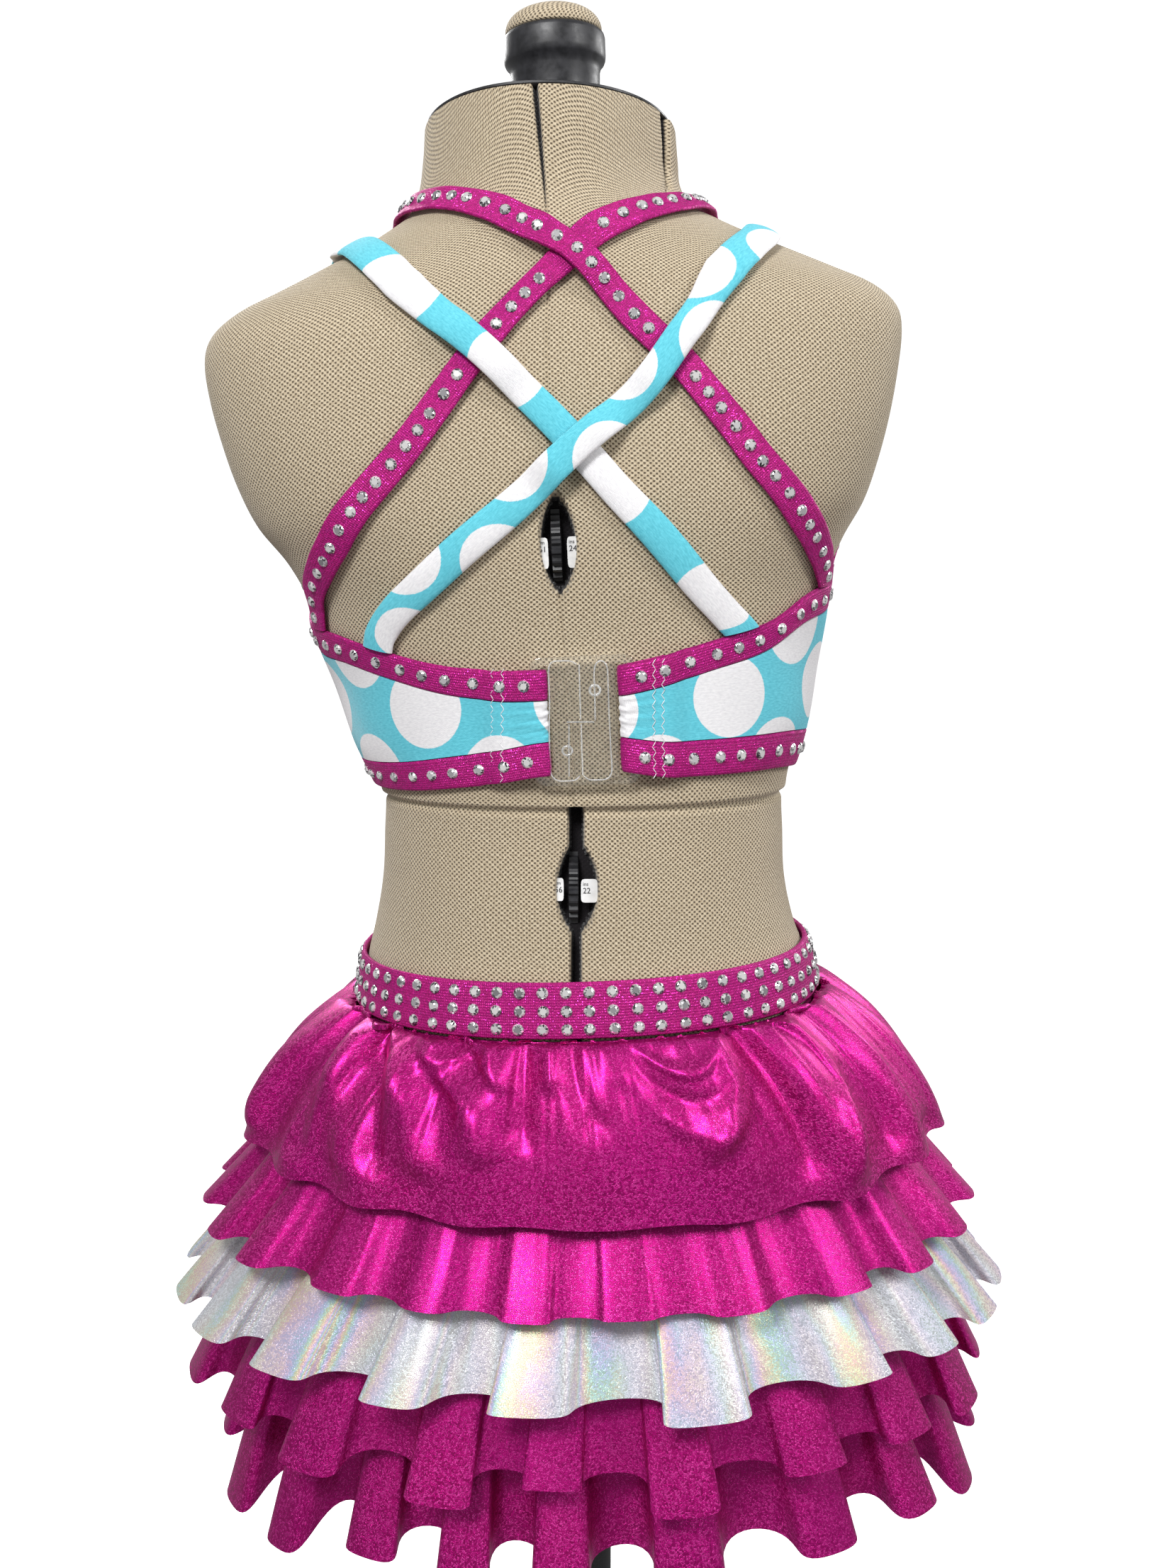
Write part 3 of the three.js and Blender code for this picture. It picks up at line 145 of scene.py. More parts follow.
def ring_point(ring, bearing, z):
    """x is the ring's shift plus its half width times the sine of the bearing, y its depth times the
    cosine, both stretched by one factor that makes the ring a superellipse of the given squareness. ring
    holds half width, depth behind, depth before, squareness and shift in its last axis."""
    across = np.sin(np.radians(bearing))
    along = np.cos(np.radians(bearing))
    half, back, front, square, side = np.moveaxis(ring, -1, 0)
    stretch = (np.abs(across) ** square + np.abs(along) ** square) ** (-1 / square)
    depth = np.where(along >= 0, back, front)
    x = side + half * across * stretch
    return np.stack(np.broadcast_arrays(x, depth * along * stretch, z), axis=-1)


def form_point(bearing, z):
    """The form's surface at a bearing and a height."""
    bearing, z = np.broadcast_arrays(np.asarray(bearing, float), np.asarray(z, float))
    return ring_point(read_table(FORM_RINGS, z)[..., 1:], bearing, z)


def form_frame(bearing, z):
    """The form's point, outward normal, directions around and up, and millimetres per degree and per unit
    of height, from the difference of two near points each way. The normal is the cross product of up and
    around."""
    step = 0.5
    around = form_point(bearing + step, z) - form_point(bearing - step, z)
    low = np.maximum(FORM_BOTTOM, z - step)
    high = np.minimum(NECK_TOP, z + step)
    up = form_point(bearing, high) - form_point(bearing, low)
    per_degree = np.linalg.norm(around, axis=-1) / (2 * step)
    per_height = np.linalg.norm(up, axis=-1) / (high - low)
    normal = unit(np.cross(up, around))
    return form_point(bearing, z), normal, unit(around), unit(up), per_degree, per_height


def on_form(bearing, z, lift):
    """A point of the form moved out along its normal by a lift."""
    bearing, z = np.broadcast_arrays(np.asarray(bearing, float), np.asarray(z, float))
    point, normal = form_frame(bearing, z)[:2]
    return point + normal * np.asarray(lift, float)[..., None]


def bearing_at(x, z):
    """The bearing on the form's back of the point that lies at x: the ring's superellipse solved for its
    angle."""
    ring = read_table(FORM_RINGS, z)
    offset = x - ring[..., 5]
    far = np.maximum(np.abs(offset), 0.001)
    ratio = np.maximum(np.abs(ring[..., 1] / far) ** ring[..., 4] - 1, 0)
    return np.sign(offset) * (90 - np.degrees(np.arctan(ratio ** (1 / ring[..., 4]))))


LEAN_ANGLE = math.radians(2.6)
LEAN_PIVOT = 552


def lean(points):
    """The upper body leans to the wearer's left: each point turns about the waist by an angle that grows
    smoothly from none to 2.6 degrees over 40 mm of height."""
    angle = LEAN_ANGLE * smooth((points[..., 2] - 540) / 40)
    rise = points[..., 2] - LEAN_PIVOT
    x = points[..., 0] * np.cos(angle) + rise * np.sin(angle)
    z = LEAN_PIVOT + rise * np.cos(angle) - points[..., 0] * np.sin(angle)
    return np.stack([x, points[..., 1], z], axis=-1)


print("form girth at the bust line:", round(float(np.linalg.norm(np.diff(form_point(
    np.linspace(0, 360, 361), np.full(361, 605.0)), axis=0), axis=1).sum())), "mm")

# %% [markdown]
# Cloth has two faces and an edge, so each piece is a closed wall between an outer and an inner grid of
# points. A Solidify modifier would do this too, but it can't make a binding thicker in its middle or
# follow a turned end, so both grids are worked out. Straps and bindings are rods: one rounded section
# carried along a row of places.

# %% From grids to closed meshes
def corner_grid(rows, columns):
    """The four corners of each cell of a grid, as two arrays of row and column numbers."""
    row, column = np.meshgrid(np.arange(rows - 1), np.arange(columns), indexing="ij")
    row, column = row.ravel(), column.ravel()
    return np.stack([row, row, row + 1, row + 1], 1), np.stack([column, column + 1, column + 1, column], 1)


def wall(outer, inner, u, v, ring):
    """Points, faces and cloth places of a closed wall. Cells of the outer grid face out, those of the
    inner grid face in, and strips of cells close the rims. u and v have one column more than the grids if
    they join round."""
    rows, columns = outer.shape[:2]
    steps = columns if ring else columns - 1
    points = np.concatenate([outer.reshape(-1, 3), inner.reshape(-1, 3)])
    row, column = corner_grid(rows, steps)
    zero = np.zeros_like(row)
    cells = [(zero, row, column), (zero[:, ::-1] + 1, row[:, ::-1], column[:, ::-1])]
    low = np.arange(steps)
    pair = np.stack([low, low + 1, low + 1, low], 1)
    layer = np.broadcast_to([1, 1, 0, 0], pair.shape)
    cells.append((layer, np.zeros_like(pair), pair))
    cells.append((1 - layer, np.full_like(pair, rows - 1), pair))
    if not ring:
        low = np.arange(rows - 1)
        pair = np.stack([low, low, low + 1, low + 1], 1)
        layer = np.broadcast_to([1, 0, 0, 1], pair.shape)
        cells.append((layer, pair, np.zeros_like(pair)))
        cells.append((1 - layer, pair, np.full_like(pair, columns - 1)))
    layer, row, column = (np.concatenate([cell[k] for cell in cells]) for k in range(3))
    faces = layer * rows * columns + row * columns + column % columns
    places = np.stack([u[row, column], v[row, column]], axis=-1)
    return points, [faces], [places]


def rod(rings, u, v):
    """Points, faces and cloth places of a closed section carried along a path: rings[step][corner]. Each
    end is closed by one face. v has one column more than the section has corners."""
    steps, corners = rings.shape[:2]
    row, column = corner_grid(steps, corners)
    faces = row * corners + column % corners
    places = np.stack([u[row, column], v[row, column]], axis=-1)
    ends = np.stack([np.arange(corners)[::-1], (steps - 1) * corners + np.arange(corners)])
    end_row = np.stack([np.zeros(corners, int), np.full(corners, steps - 1)])
    end_column = np.stack([np.arange(corners)[::-1], np.arange(corners)])
    end_places = np.stack([u[end_row, end_column], v[end_row, end_column]], axis=-1)
    return rings.reshape(-1, 3), [faces, ends], [places, end_places]


def hoop(rings, u, v):
    """Points, faces and cloth places of a closed section carried round a closed path. u and v have one
    row and one column more than the rings."""
    steps, corners = rings.shape[:2]
    row, column = corner_grid(steps + 1, corners)
    faces = (row % steps) * corners + column % corners
    places = np.stack([u[row, column], v[row, column]], axis=-1)
    return rings.reshape(-1, 3), [faces], [places]


def enclosed(points, faces):
    """Six times the volume inside the faces: the sum of the triple products of a fan of triangles in each
    face."""
    total = 0.0
    for group in faces:
        corner = points[group]
        for k in range(1, group.shape[1] - 1):
            total += float(np.einsum("ij,ij->", corner[:, 0], np.cross(corner[:, k], corner[:, k + 1])))
    return total


def add_object(name, mesh, finish, instead_of=()):
    """A mesh as an object that rides the root, with its finish and the CAD nodes that it stands
    in for."""
    mesh.materials.clear()
    mesh.materials.append(finish)
    piece = bpy.data.objects.new(name, mesh)
    bpy.context.scene.collection.objects.link(piece)
    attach(piece, "root")
    if instead_of:
        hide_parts(*instead_of)
    return piece


def make_piece(name, shape, finish, instead_of=(), fields=None, sharp=50, leaned=True):
    """A mesh object at the origin from points in millimetres. Faces that would enclose a negative volume
    are turned, so that they point outwards. fields are named values, one for each point."""
    points, faces, places = shape
    if enclosed(points, faces) < 0:
        faces = [group[:, ::-1] for group in faces]
        places = [group[:, ::-1] for group in places]
    if leaned:
        points = lean(points)
    sizes = np.concatenate([np.full(len(group), group.shape[1]) for group in faces])
    corners = np.concatenate([group.ravel() for group in faces]).astype(np.int32)
    starts = np.concatenate([[0], np.cumsum(sizes)[:-1]]).astype(np.int32)
    mesh = bpy.data.meshes.new(name)
    mesh.vertices.add(len(points))
    mesh.vertices.foreach_set("co", (points * 0.001).astype(np.float32).ravel())
    mesh.loops.add(len(corners))
    mesh.loops.foreach_set("vertex_index", corners)
    mesh.polygons.add(len(sizes))
    mesh.polygons.foreach_set("loop_start", starts)
    mesh.update(calc_edges=True)
    cloth = mesh.uv_layers.new(name="cloth")
    flat = np.concatenate([group.reshape(-1, 2) for group in places]) * 0.001
    cloth.data.foreach_set("uv", flat.astype(np.float32).ravel())
    for field, values in (fields or {}).items():
        layer = mesh.attributes.new(field, "FLOAT", "POINT")
        layer.data.foreach_set("value", np.asarray(values, np.float32).ravel())
    mesh.polygons.foreach_set("use_smooth", np.ones(len(sizes), bool))
    mesh.set_sharp_from_angle(angle=math.radians(sharp))
    piece = add_object(name, mesh, finish, instead_of)
    print(name, "faces", len(sizes), "volume", round(abs(enclosed(points, faces)) / 6000, 1), "ml")
    return piece


def lengths(points, axis):
    """The running length along one axis of a grid of points, starting at 0."""
    steps = np.linalg.norm(np.diff(points, axis=axis), axis=-1)
    start = np.zeros_like(np.take(steps, [0], axis=axis))
    return np.concatenate([start, np.cumsum(steps, axis=axis)], axis=axis)


def closed_round(grid):
    """A grid with its first column repeated after its last."""
    return np.concatenate([grid, grid[:, :1]], axis=1)


def looped(values):
    """A row of values with its first repeated after its last."""
    return np.append(values, values[0])


def pushed_in(outer, thickness, ring):
    """The inner grid of a wall: each point moved in along the cross product of the grid's two
    directions."""
    if ring:
        around = np.roll(outer, -1, axis=1) - np.roll(outer, 1, axis=1)
    else:
        around = np.gradient(outer, axis=1)
    normal = unit(np.cross(around, np.gradient(outer, axis=0)))
    return outer - normal * thickness


# %% [markdown]
# A finish is a small tree of nodes on one shader. Values that are the same all over stay on the shader's
# own sockets, and patterns come from the cloth's own flat coordinates, so that they stretch and turn with
# the cloth.

# %% Helpers for finishes
def new_finish(name, **sockets):
    """A material with its shader's sockets set. Underscores in the names stand for spaces."""
    material = bpy.data.materials.new(name)
    material.use_nodes = True
    shader = material.node_tree.nodes["Principled BSDF"]
    for socket, value in sockets.items():
        shader.inputs[socket.replace("_", " ")].default_value = value
    return material, material.node_tree, shader


def add_node(tree, kind, inputs=None, **settings):
    """A node with its settings made and its inputs filled, each with a value or with another node's
    output."""
    made = tree.nodes.new("ShaderNode" + kind)
    for setting, value in settings.items():
        setattr(made, setting, value)
    for key, value in (inputs or {}).items():
        if isinstance(value, bpy.types.NodeSocket):
            tree.links.new(value, made.inputs[key])
        else:
            made.inputs[key].default_value = value
    return made


def add_ramp(tree, factor, stops):
    """A colour ramp with its stops as pairs of place and colour."""
    made = add_node(tree, "ValToRGB", {"Fac": factor})
    elements = made.color_ramp.elements
    while len(elements) < len(stops):
        elements.new(0.5)
    for element, (place, color) in zip(elements, stops):
        element.position = place
        element.color = (*color, 1)
    return made.outputs["Color"]


def add_mix(tree, factor, first, second):
    """The mix of two colours or colour outputs."""
    made = add_node(tree, "Mix", {0: factor}, data_type="RGBA")
    for key, value in ((6, first), (7, second)):
        if isinstance(value, bpy.types.NodeSocket):
            tree.links.new(value, made.inputs[key])
        else:
            made.inputs[key].default_value = (*value, 1)
    return made.outputs[2]


def add_math(tree, operation, first, second=0.0, third=0.0):
    """One sum on numbers or number outputs."""
    return add_node(tree, "Math", {0: first, 1: second, 2: third}, operation=operation).outputs[0]


def add_range(tree, value, low, high, start, end):
    """A value brought from one range to another and held inside it."""
    inputs = {"Value": value, "From Min": low, "From Max": high, "To Min": start, "To Max": end}
    return add_node(tree, "MapRange", inputs).outputs["Result"]


def add_noise(tree, vector, scale, detail):
    """A smooth random pattern round one half."""
    return add_node(tree, "TexNoise", {"Vector": vector, "Scale": scale, "Detail": detail}).outputs["Fac"]


def feed(tree, shader, bump=None, **outputs):
    """Links an output to each named socket of the shader. bump is a height, a strength and a distance in
    metres."""
    if bump:
        made = add_node(tree, "Bump", dict(zip(("Height", "Strength", "Distance"), bump)))
        outputs["Normal"] = made.outputs["Normal"]
    for socket, output in outputs.items():
        tree.links.new(output, shader.inputs[socket.replace("_", " ")])


def cloth_place(tree):
    """The piece's own flat coordinates, in metres of cloth."""
    return add_node(tree, "UVMap", uv_map="cloth").outputs["UV"]


def stretched(tree, vector, scale):
    """Flat coordinates multiplied by a scale of their own in each direction."""
    return add_node(tree, "Mapping", {"Vector": vector, "Scale": scale}).outputs["Vector"]


# %% [markdown]
# Foil cloth is stretch knit with a skin of metallic foil that is broken into small cells, about a
# millimetre wide, with darker cloth in the cracks between them. A picture would tile and blur, so two
# Voronoi textures draw it: one gives each cell its own shade and tilt, the other the distance to the
# nearest crack.

# %% Foil finishes
def foil_cells(tree, cells_per_metre):
    """The random shade of each foil cell, and a mask that is 0 in the cracks and 1 on the foil."""
    place = cloth_place(tree)
    inputs = {"Vector": place, "Scale": cells_per_metre}
    cell = add_node(tree, "TexVoronoi", inputs, voronoi_dimensions="2D")
    crack = add_node(tree, "TexVoronoi", inputs, voronoi_dimensions="2D", feature="DISTANCE_TO_EDGE")
    shade = add_node(tree, "SeparateColor", {"Color": cell.outputs["Color"]}).outputs[0]
    mask = add_range(tree, crack.outputs["Distance"], 0.03, 0.16, 0, 1)
    return place, shade, mask


def magenta_foil():
    """Magenta foil for the tiers: bright metallic cells over dark magenta cracks, creased a little at
    random."""
    material, tree, shader = new_finish("magenta_foil_cloth", Specular_IOR_Level=0.35, Coat_Weight=0.05,
                                        Coat_Roughness=0.3)
    place, shade, mask = foil_cells(tree, 1500)
    cell = add_ramp(tree, shade, [
        (0, (0.42, 0.002, 0.14)), (0.55, (0.63, 0.006, 0.25)), (1, (0.95, 0.07, 0.47)),
    ])
    tint = add_range(tree, add_noise(tree, place, 16, 2), 0.3, 0.7, 0.0, 0.35)
    cell = add_mix(tree, tint, cell, (0.47, 0.001, 0.24))
    fine = add_math(tree, "MULTIPLY", shade, mask)
    height = add_math(tree, "MULTIPLY_ADD", add_noise(tree, place, 60, 2), 1.2, fine)
    feed(tree, shader, (height, 0.5, 0.0003),
         Base_Color=add_mix(tree, mask, (0.13, 0.0, 0.055), cell),
         Metallic=add_range(tree, mask, 0, 1, 0.3, 0.92),
         Roughness=add_range(tree, shade, 0, 1, 0.31, 0.46))
    return material


def white_foil():
    """White holographic foil: the shade goes round a pastel rainbow as the cloth turns, strongest in
    patches. The rainbow is painted iridescent reflection, read from the way each face points."""
    material, tree, shader = new_finish("white_holographic_cloth", Specular_IOR_Level=0.5)
    place, shade, mask = foil_cells(tree, 1400)
    # Painted iridescent reflection: the rainbow's hue follows the direction each face points.
    facing = add_node(tree, "NewGeometry").outputs["Normal"]
    turn = add_node(tree, "VectorMath", {0: facing, 1: (2.3, 1.1, 3.4)}, operation="DOT_PRODUCT")
    broad = add_noise(tree, stretched(tree, place, (34, 15, 1)), 1, 2)
    phase = add_math(tree, "MULTIPLY_ADD", broad, 2.2, turn.outputs["Value"])
    phase = add_math(tree, "MULTIPLY_ADD", shade, 0.22, phase)
    phase = add_math(tree, "FRACT", phase)
    painted_rainbow_reflection = add_ramp(tree, phase, [
        (0.0, (0.86, 0.52, 0.26)),
        (0.17, (0.74, 0.78, 0.30)),
        (0.34, (0.33, 0.76, 0.55)),
        (0.5, (0.36, 0.55, 0.88)),
        (0.67, (0.60, 0.44, 0.85)),
        (0.84, (0.88, 0.45, 0.60)),
        (1.0, (0.86, 0.52, 0.26)),
    ])
    patch = add_noise(tree, stretched(tree, place, (30, 12, 1)), 1, 1)
    amount = add_range(tree, patch, 0.40, 0.62, 0.12, 0.72)
    silver = add_ramp(tree, shade, [
        (0, (0.58, 0.57, 0.62)), (0.6, (0.78, 0.77, 0.82)), (1, (0.97, 0.96, 0.98)),
    ])
    cell = add_mix(tree, amount, silver, painted_rainbow_reflection)
    feed(tree, shader, (add_math(tree, "MULTIPLY", shade, mask), 0.4, 0.0004),
         Base_Color=add_mix(tree, mask, (0.42, 0.41, 0.47), cell),
         Metallic=add_range(tree, mask, 0, 1, 0.1, 0.55),
         Roughness=add_range(tree, shade, 0, 1, 0.22, 0.36))
    return material


def binding_cloth():
    """Magenta knit of the bindings and the waistband: fine loops with a glint of foil on some of them."""
    material, tree, shader = new_finish("magenta_binding_knit", Specular_IOR_Level=0.3, Sheen_Weight=0.05,
                                        Sheen_Tint=(1, 0.25, 0.7, 1))
    place, shade, mask = foil_cells(tree, 1500)
    cell = add_ramp(tree, shade, [
        (0, (0.34, 0.002, 0.12)), (0.7, (0.58, 0.006, 0.23)), (1, (0.85, 0.06, 0.44)),
    ])
    broad = add_noise(tree, place, 55, 2)
    cell = add_mix(tree, add_range(tree, broad, 0.3, 0.7, 0, 0.4), cell, (0.36, 0.0, 0.18))
    glint = add_range(tree, shade, 0.78, 0.9, 0.15, 0.85)
    loops = stretched(tree, place, (1150, 900, 1))
    rib = add_node(tree, "TexVoronoi", {"Vector": loops, "Scale": 1, "Randomness": 0.3},
                   voronoi_dimensions="2D")
    feed(tree, shader, (add_math(tree, "SUBTRACT", 1.0, rib.outputs["Distance"]), 0.8, 0.0005),
         Base_Color=add_mix(tree, mask, (0.20, 0.0, 0.09), cell),
         Metallic=glint,
         Roughness=add_range(tree, glint, 0, 1, 0.62, 0.3))
    return material


foil = magenta_foil()
holographic = white_foil()
binding = binding_cloth()
print("foil finishes:", foil.name, holographic.name, binding.name)

# %% [markdown]
# The jersey is a matte stretch knit with large round dots. The dots' edges have to be round and sharp, so
# numpy works out for each point how far it is from the nearest dot's edge, and the finish only asks
# whether that is positive. Fine ribs and a little nap come from noise stretched along the cloth.

# %% Jersey, knit cover and hard finishes
def dotted_jersey():
    """Aqua jersey with white dots where the field called dot is positive."""
    material, tree, shader = new_finish("dotted_jersey_cloth", Roughness=0.82, Specular_IOR_Level=0.3,
                                        Sheen_Weight=0.25, Sheen_Roughness=0.4)
    place = cloth_place(tree)
    field = add_node(tree, "Attribute", attribute_name="dot").outputs["Fac"]
    edge = add_math(tree, "MULTIPLY_ADD", add_noise(tree, place, 1600, 1), 0.5, field)
    white = add_range(tree, edge, 0.1, 0.45, 0, 1)
    nap = add_noise(tree, stretched(tree, place, (500, 1500, 1)), 1, 2)
    aqua = add_ramp(tree, nap, [(0.3, (0.085, 0.46, 0.57)), (0.7, (0.145, 0.60, 0.71))])
    pale = add_ramp(tree, nap, [(0.3, (0.70, 0.69, 0.71)), (0.7, (0.84, 0.83, 0.84))])
    rib = add_node(tree, "TexWave", {"Vector": place, "Scale": 700, "Distortion": 1.5, "Detail": 1},
                   bands_direction="X")
    height = add_math(tree, "MULTIPLY_ADD", nap, 0.8, rib.outputs["Fac"])
    feed(tree, shader, (height, 0.35, 0.0003), Base_Color=add_mix(tree, white, aqua, pale))
    return material


def knit_cover():
    """Beige mesh knit: the product of two cosine waves, one each way, is lowest on staggered rows of
    small holes, painted shade inside. Where the back's gaps are marked, near-black painted shade fills
    them."""
    material, tree, shader = new_finish("beige_knit_cover", Roughness=0.92, Specular_IOR_Level=0.15,
                                        Sheen_Weight=0.2)
    place = cloth_place(tree)
    warp = add_node(tree, "TexNoise", {"Vector": place, "Scale": 30, "Detail": 1}).outputs["Color"]
    slack = add_node(tree, "VectorMath", {0: warp, 1: (0.0035, 0.0035, 0)}, operation="MULTIPLY")
    moved = add_node(tree, "VectorMath", {0: place, 1: slack.outputs["Vector"]}, operation="ADD")
    split = add_node(tree, "SeparateXYZ", {"Vector": moved.outputs["Vector"]})
    one = add_math(tree, "COSINE", add_math(tree, "MULTIPLY", split.outputs["X"], 2670.0))
    other = add_math(tree, "COSINE", add_math(tree, "MULTIPLY", split.outputs["Y"], 3100.0))
    yarn = add_range(tree, add_math(tree, "MULTIPLY", one, other), -0.9, 0.1, 0, 1)
    hair = add_noise(tree, place, 900, 3)
    light = add_ramp(tree, hair, [(0.3, (0.40, 0.32, 0.215)), (0.7, (0.64, 0.545, 0.395))])
    # Painted shade: the knit's holes are dark brown.
    color = add_mix(tree, yarn, (0.10, 0.072, 0.045), light)
    gap_shade = add_node(tree, "Attribute", attribute_name="gap_shade").outputs["Fac"]
    inside = add_range(tree, gap_shade, 0.4, 0.6, 0, 1)
    height = add_math(tree, "MULTIPLY_ADD", hair, 0.4, yarn)
    # Near-black painted shade where the back's gaps are marked.
    color = add_mix(tree, inside, color, (0.012, 0.010, 0.012))
    feed(tree, shader, (height, 0.7, 0.0007), Base_Color=color)
    return material


def moulded(name, dark, pale, roughness, scale):
    """Painted or moulded hard material with a fine grain that changes its shade and its gloss a
    little."""
    material, tree, shader = new_finish(name, Specular_IOR_Level=0.5)
    spot = add_node(tree, "TexCoord").outputs["Object"]
    grain = add_noise(tree, spot, scale, 4)
    feed(tree, shader, (grain, 0.15, 0.0003),
         Base_Color=add_ramp(tree, grain, [(0.35, dark), (0.65, pale)]),
         Roughness=add_range(tree, grain, 0.3, 0.7, roughness - 0.08, roughness + 0.1))
    return material


def clear_plastic(name, clearness, dark, pale, roughness):
    """Clear moulded plastic with faint flow marks, its clearness and shades given; its paler, less clear
    use on the rails and bosses is painted highlight."""
    material, tree, shader = new_finish(name, IOR=1.45, Transmission_Weight=clearness,
                                        Specular_IOR_Level=0.6)
    spot = add_node(tree, "TexCoord").outputs["Object"]
    flow = add_noise(tree, spot, 180, 2)
    feed(tree, shader, (flow, 0.1, 0.0001),
         Base_Color=add_ramp(tree, flow, [(0.3, dark), (0.7, pale)]),
         Roughness=add_range(tree, flow, 0.3, 0.7, 0.3 * roughness, roughness))
    return material


def stone_glass():
    """Foil-backed clear stones: each facet has a painted reflection of its own, between dark and bright
    silver.
    """
    material, tree, shader = new_finish("clear_stone", Roughness=0.1, Metallic=0.6, Coat_Weight=0.6,
                                        Coat_Roughness=0.03)
    facet_reflection = add_node(tree, "Attribute", attribute_name="facet_reflection").outputs["Fac"]
    feed(tree, shader, Base_Color=add_ramp(tree, facet_reflection, [
        (0, (0.03, 0.03, 0.035)), (0.3, (0.22, 0.21, 0.23)),
        (0.6, (0.75, 0.74, 0.75)), (1, (1.0, 0.99, 0.97)),
    ]))
    return material


def sewing_thread(name, dark, pale):
    """Twisted thread: a slanted wave along each stitch paints light and shade on its twist."""
    material, tree, shader = new_finish(name, Roughness=0.6, Sheen_Weight=0.2)
    spot = add_node(tree, "TexCoord").outputs["Object"]
    twist = add_node(tree, "TexWave", {"Vector": spot, "Scale": 900}, bands_direction="DIAGONAL")
    feed(tree, shader, Base_Color=add_ramp(tree, twist.outputs["Fac"], [(0.2, dark), (0.8, pale)]))
    return material


jersey = dotted_jersey()
knit = knit_cover()
black = moulded("satin_black_plastic", (0.010, 0.010, 0.012), (0.022, 0.022, 0.026), 0.42, 260)
powder = moulded("black_powder_coat", (0.014, 0.014, 0.016), (0.034, 0.034, 0.038), 0.5, 900)
label_white = moulded("dial_label", (0.72, 0.72, 0.72), (0.80, 0.80, 0.80), 0.45, 400)
clear = clear_plastic("clear_clasp_plastic", 1.0, (0.84, 0.85, 0.85), (0.92, 0.93, 0.93), 0.01)
# Painted highlight: the rails and bosses get a paler, less clear finish than the clasp's body.
clear_edge_highlight = clear_plastic("clear_clasp_painted_highlight", 0.75, (0.80, 0.81, 0.81), (0.95, 0.96, 0.96), 0.1)
stone = stone_glass()
white_thread = sewing_thread("white_thread", (0.60, 0.58, 0.60), (0.86, 0.85, 0.86))
magenta_thread = sewing_thread("magenta_thread", (0.24, 0.0, 0.10), (0.45, 0.004, 0.22))
print("finishes:", len(bpy.data.materials))

# %% [markdown]
# The form is a knit-covered shell that opens down the centre back when its dials are turned. It shows a
# closed seam between the shoulder blades, a dark gap at the neck and the waist, and two almond windows
# with the dials. Cutting real holes would leave raw edges, so the surface sinks steeply along one line
# instead, and a field marks where near-black painted shade fills the gaps.

# %% The form's back line and openings
# Columns: height, where the line lies across the back
BACK_LINE = np.array([
    [470, 5.2], [500, 5.0], [519, 4.6], [536, 5.0], [551, 5.4], [556, 7.2], [600, 7.4], [627, 7.6],
    [662, 7.2], [700, 8.4], [723, 9.0], [760, 7.4], [794, 6.1], [824, 7.2], [850, 8.5],
])
UPPER_WINDOW = {"z": 661.5, "tall": 20.5, "wide": 7.3}
LOWER_WINDOW = {"z": 517.5, "tall": 19.5, "wide": 8.9}
SPLIT_Z = 552
WINDOW_DEEP = 11.0
NECK_GAP_DEEP = 4.0
SEAM_DEEP = 0.9
SEAM_WIDE = 0.9
SHELL_STEP = 1.6
SHELL_GROOVE = 1.3
SHUT = 0.05
SLOT_X = -46
SLOT_LOW = 803
SLOT_DEEP = 3.5
FLAP_RISE = 0.9


def window_half(window, z):
    """Half width of an almond: its greatest times one minus the square of the share of its half height,
    to 0.75."""
    share = np.clip(1 - ((z - window["z"]) / window["tall"]) ** 2, 0, 1)
    return window["wide"] * share ** 0.75


def opening_half(z):
    """Half width of the gap along the back line at each height."""
    waist_gap = np.where(z < 506, 2.2, 3.2) * (z < SPLIT_Z)
    neck_gap = 1.1 * smooth((z - 790) / 55)
    windows = np.maximum(window_half(UPPER_WINDOW, z), window_half(LOWER_WINDOW, z))
    return np.maximum(np.maximum(waist_gap, neck_gap), windows)


def neck_slant(points):
    """How much lower the neck's cut lies: a fifth of how far a point lies before the neck's back, and
    against the lean."""
    return 0.2 * (46 - points[..., 1]) - points[..., 0] * math.tan(LEAN_ANGLE)


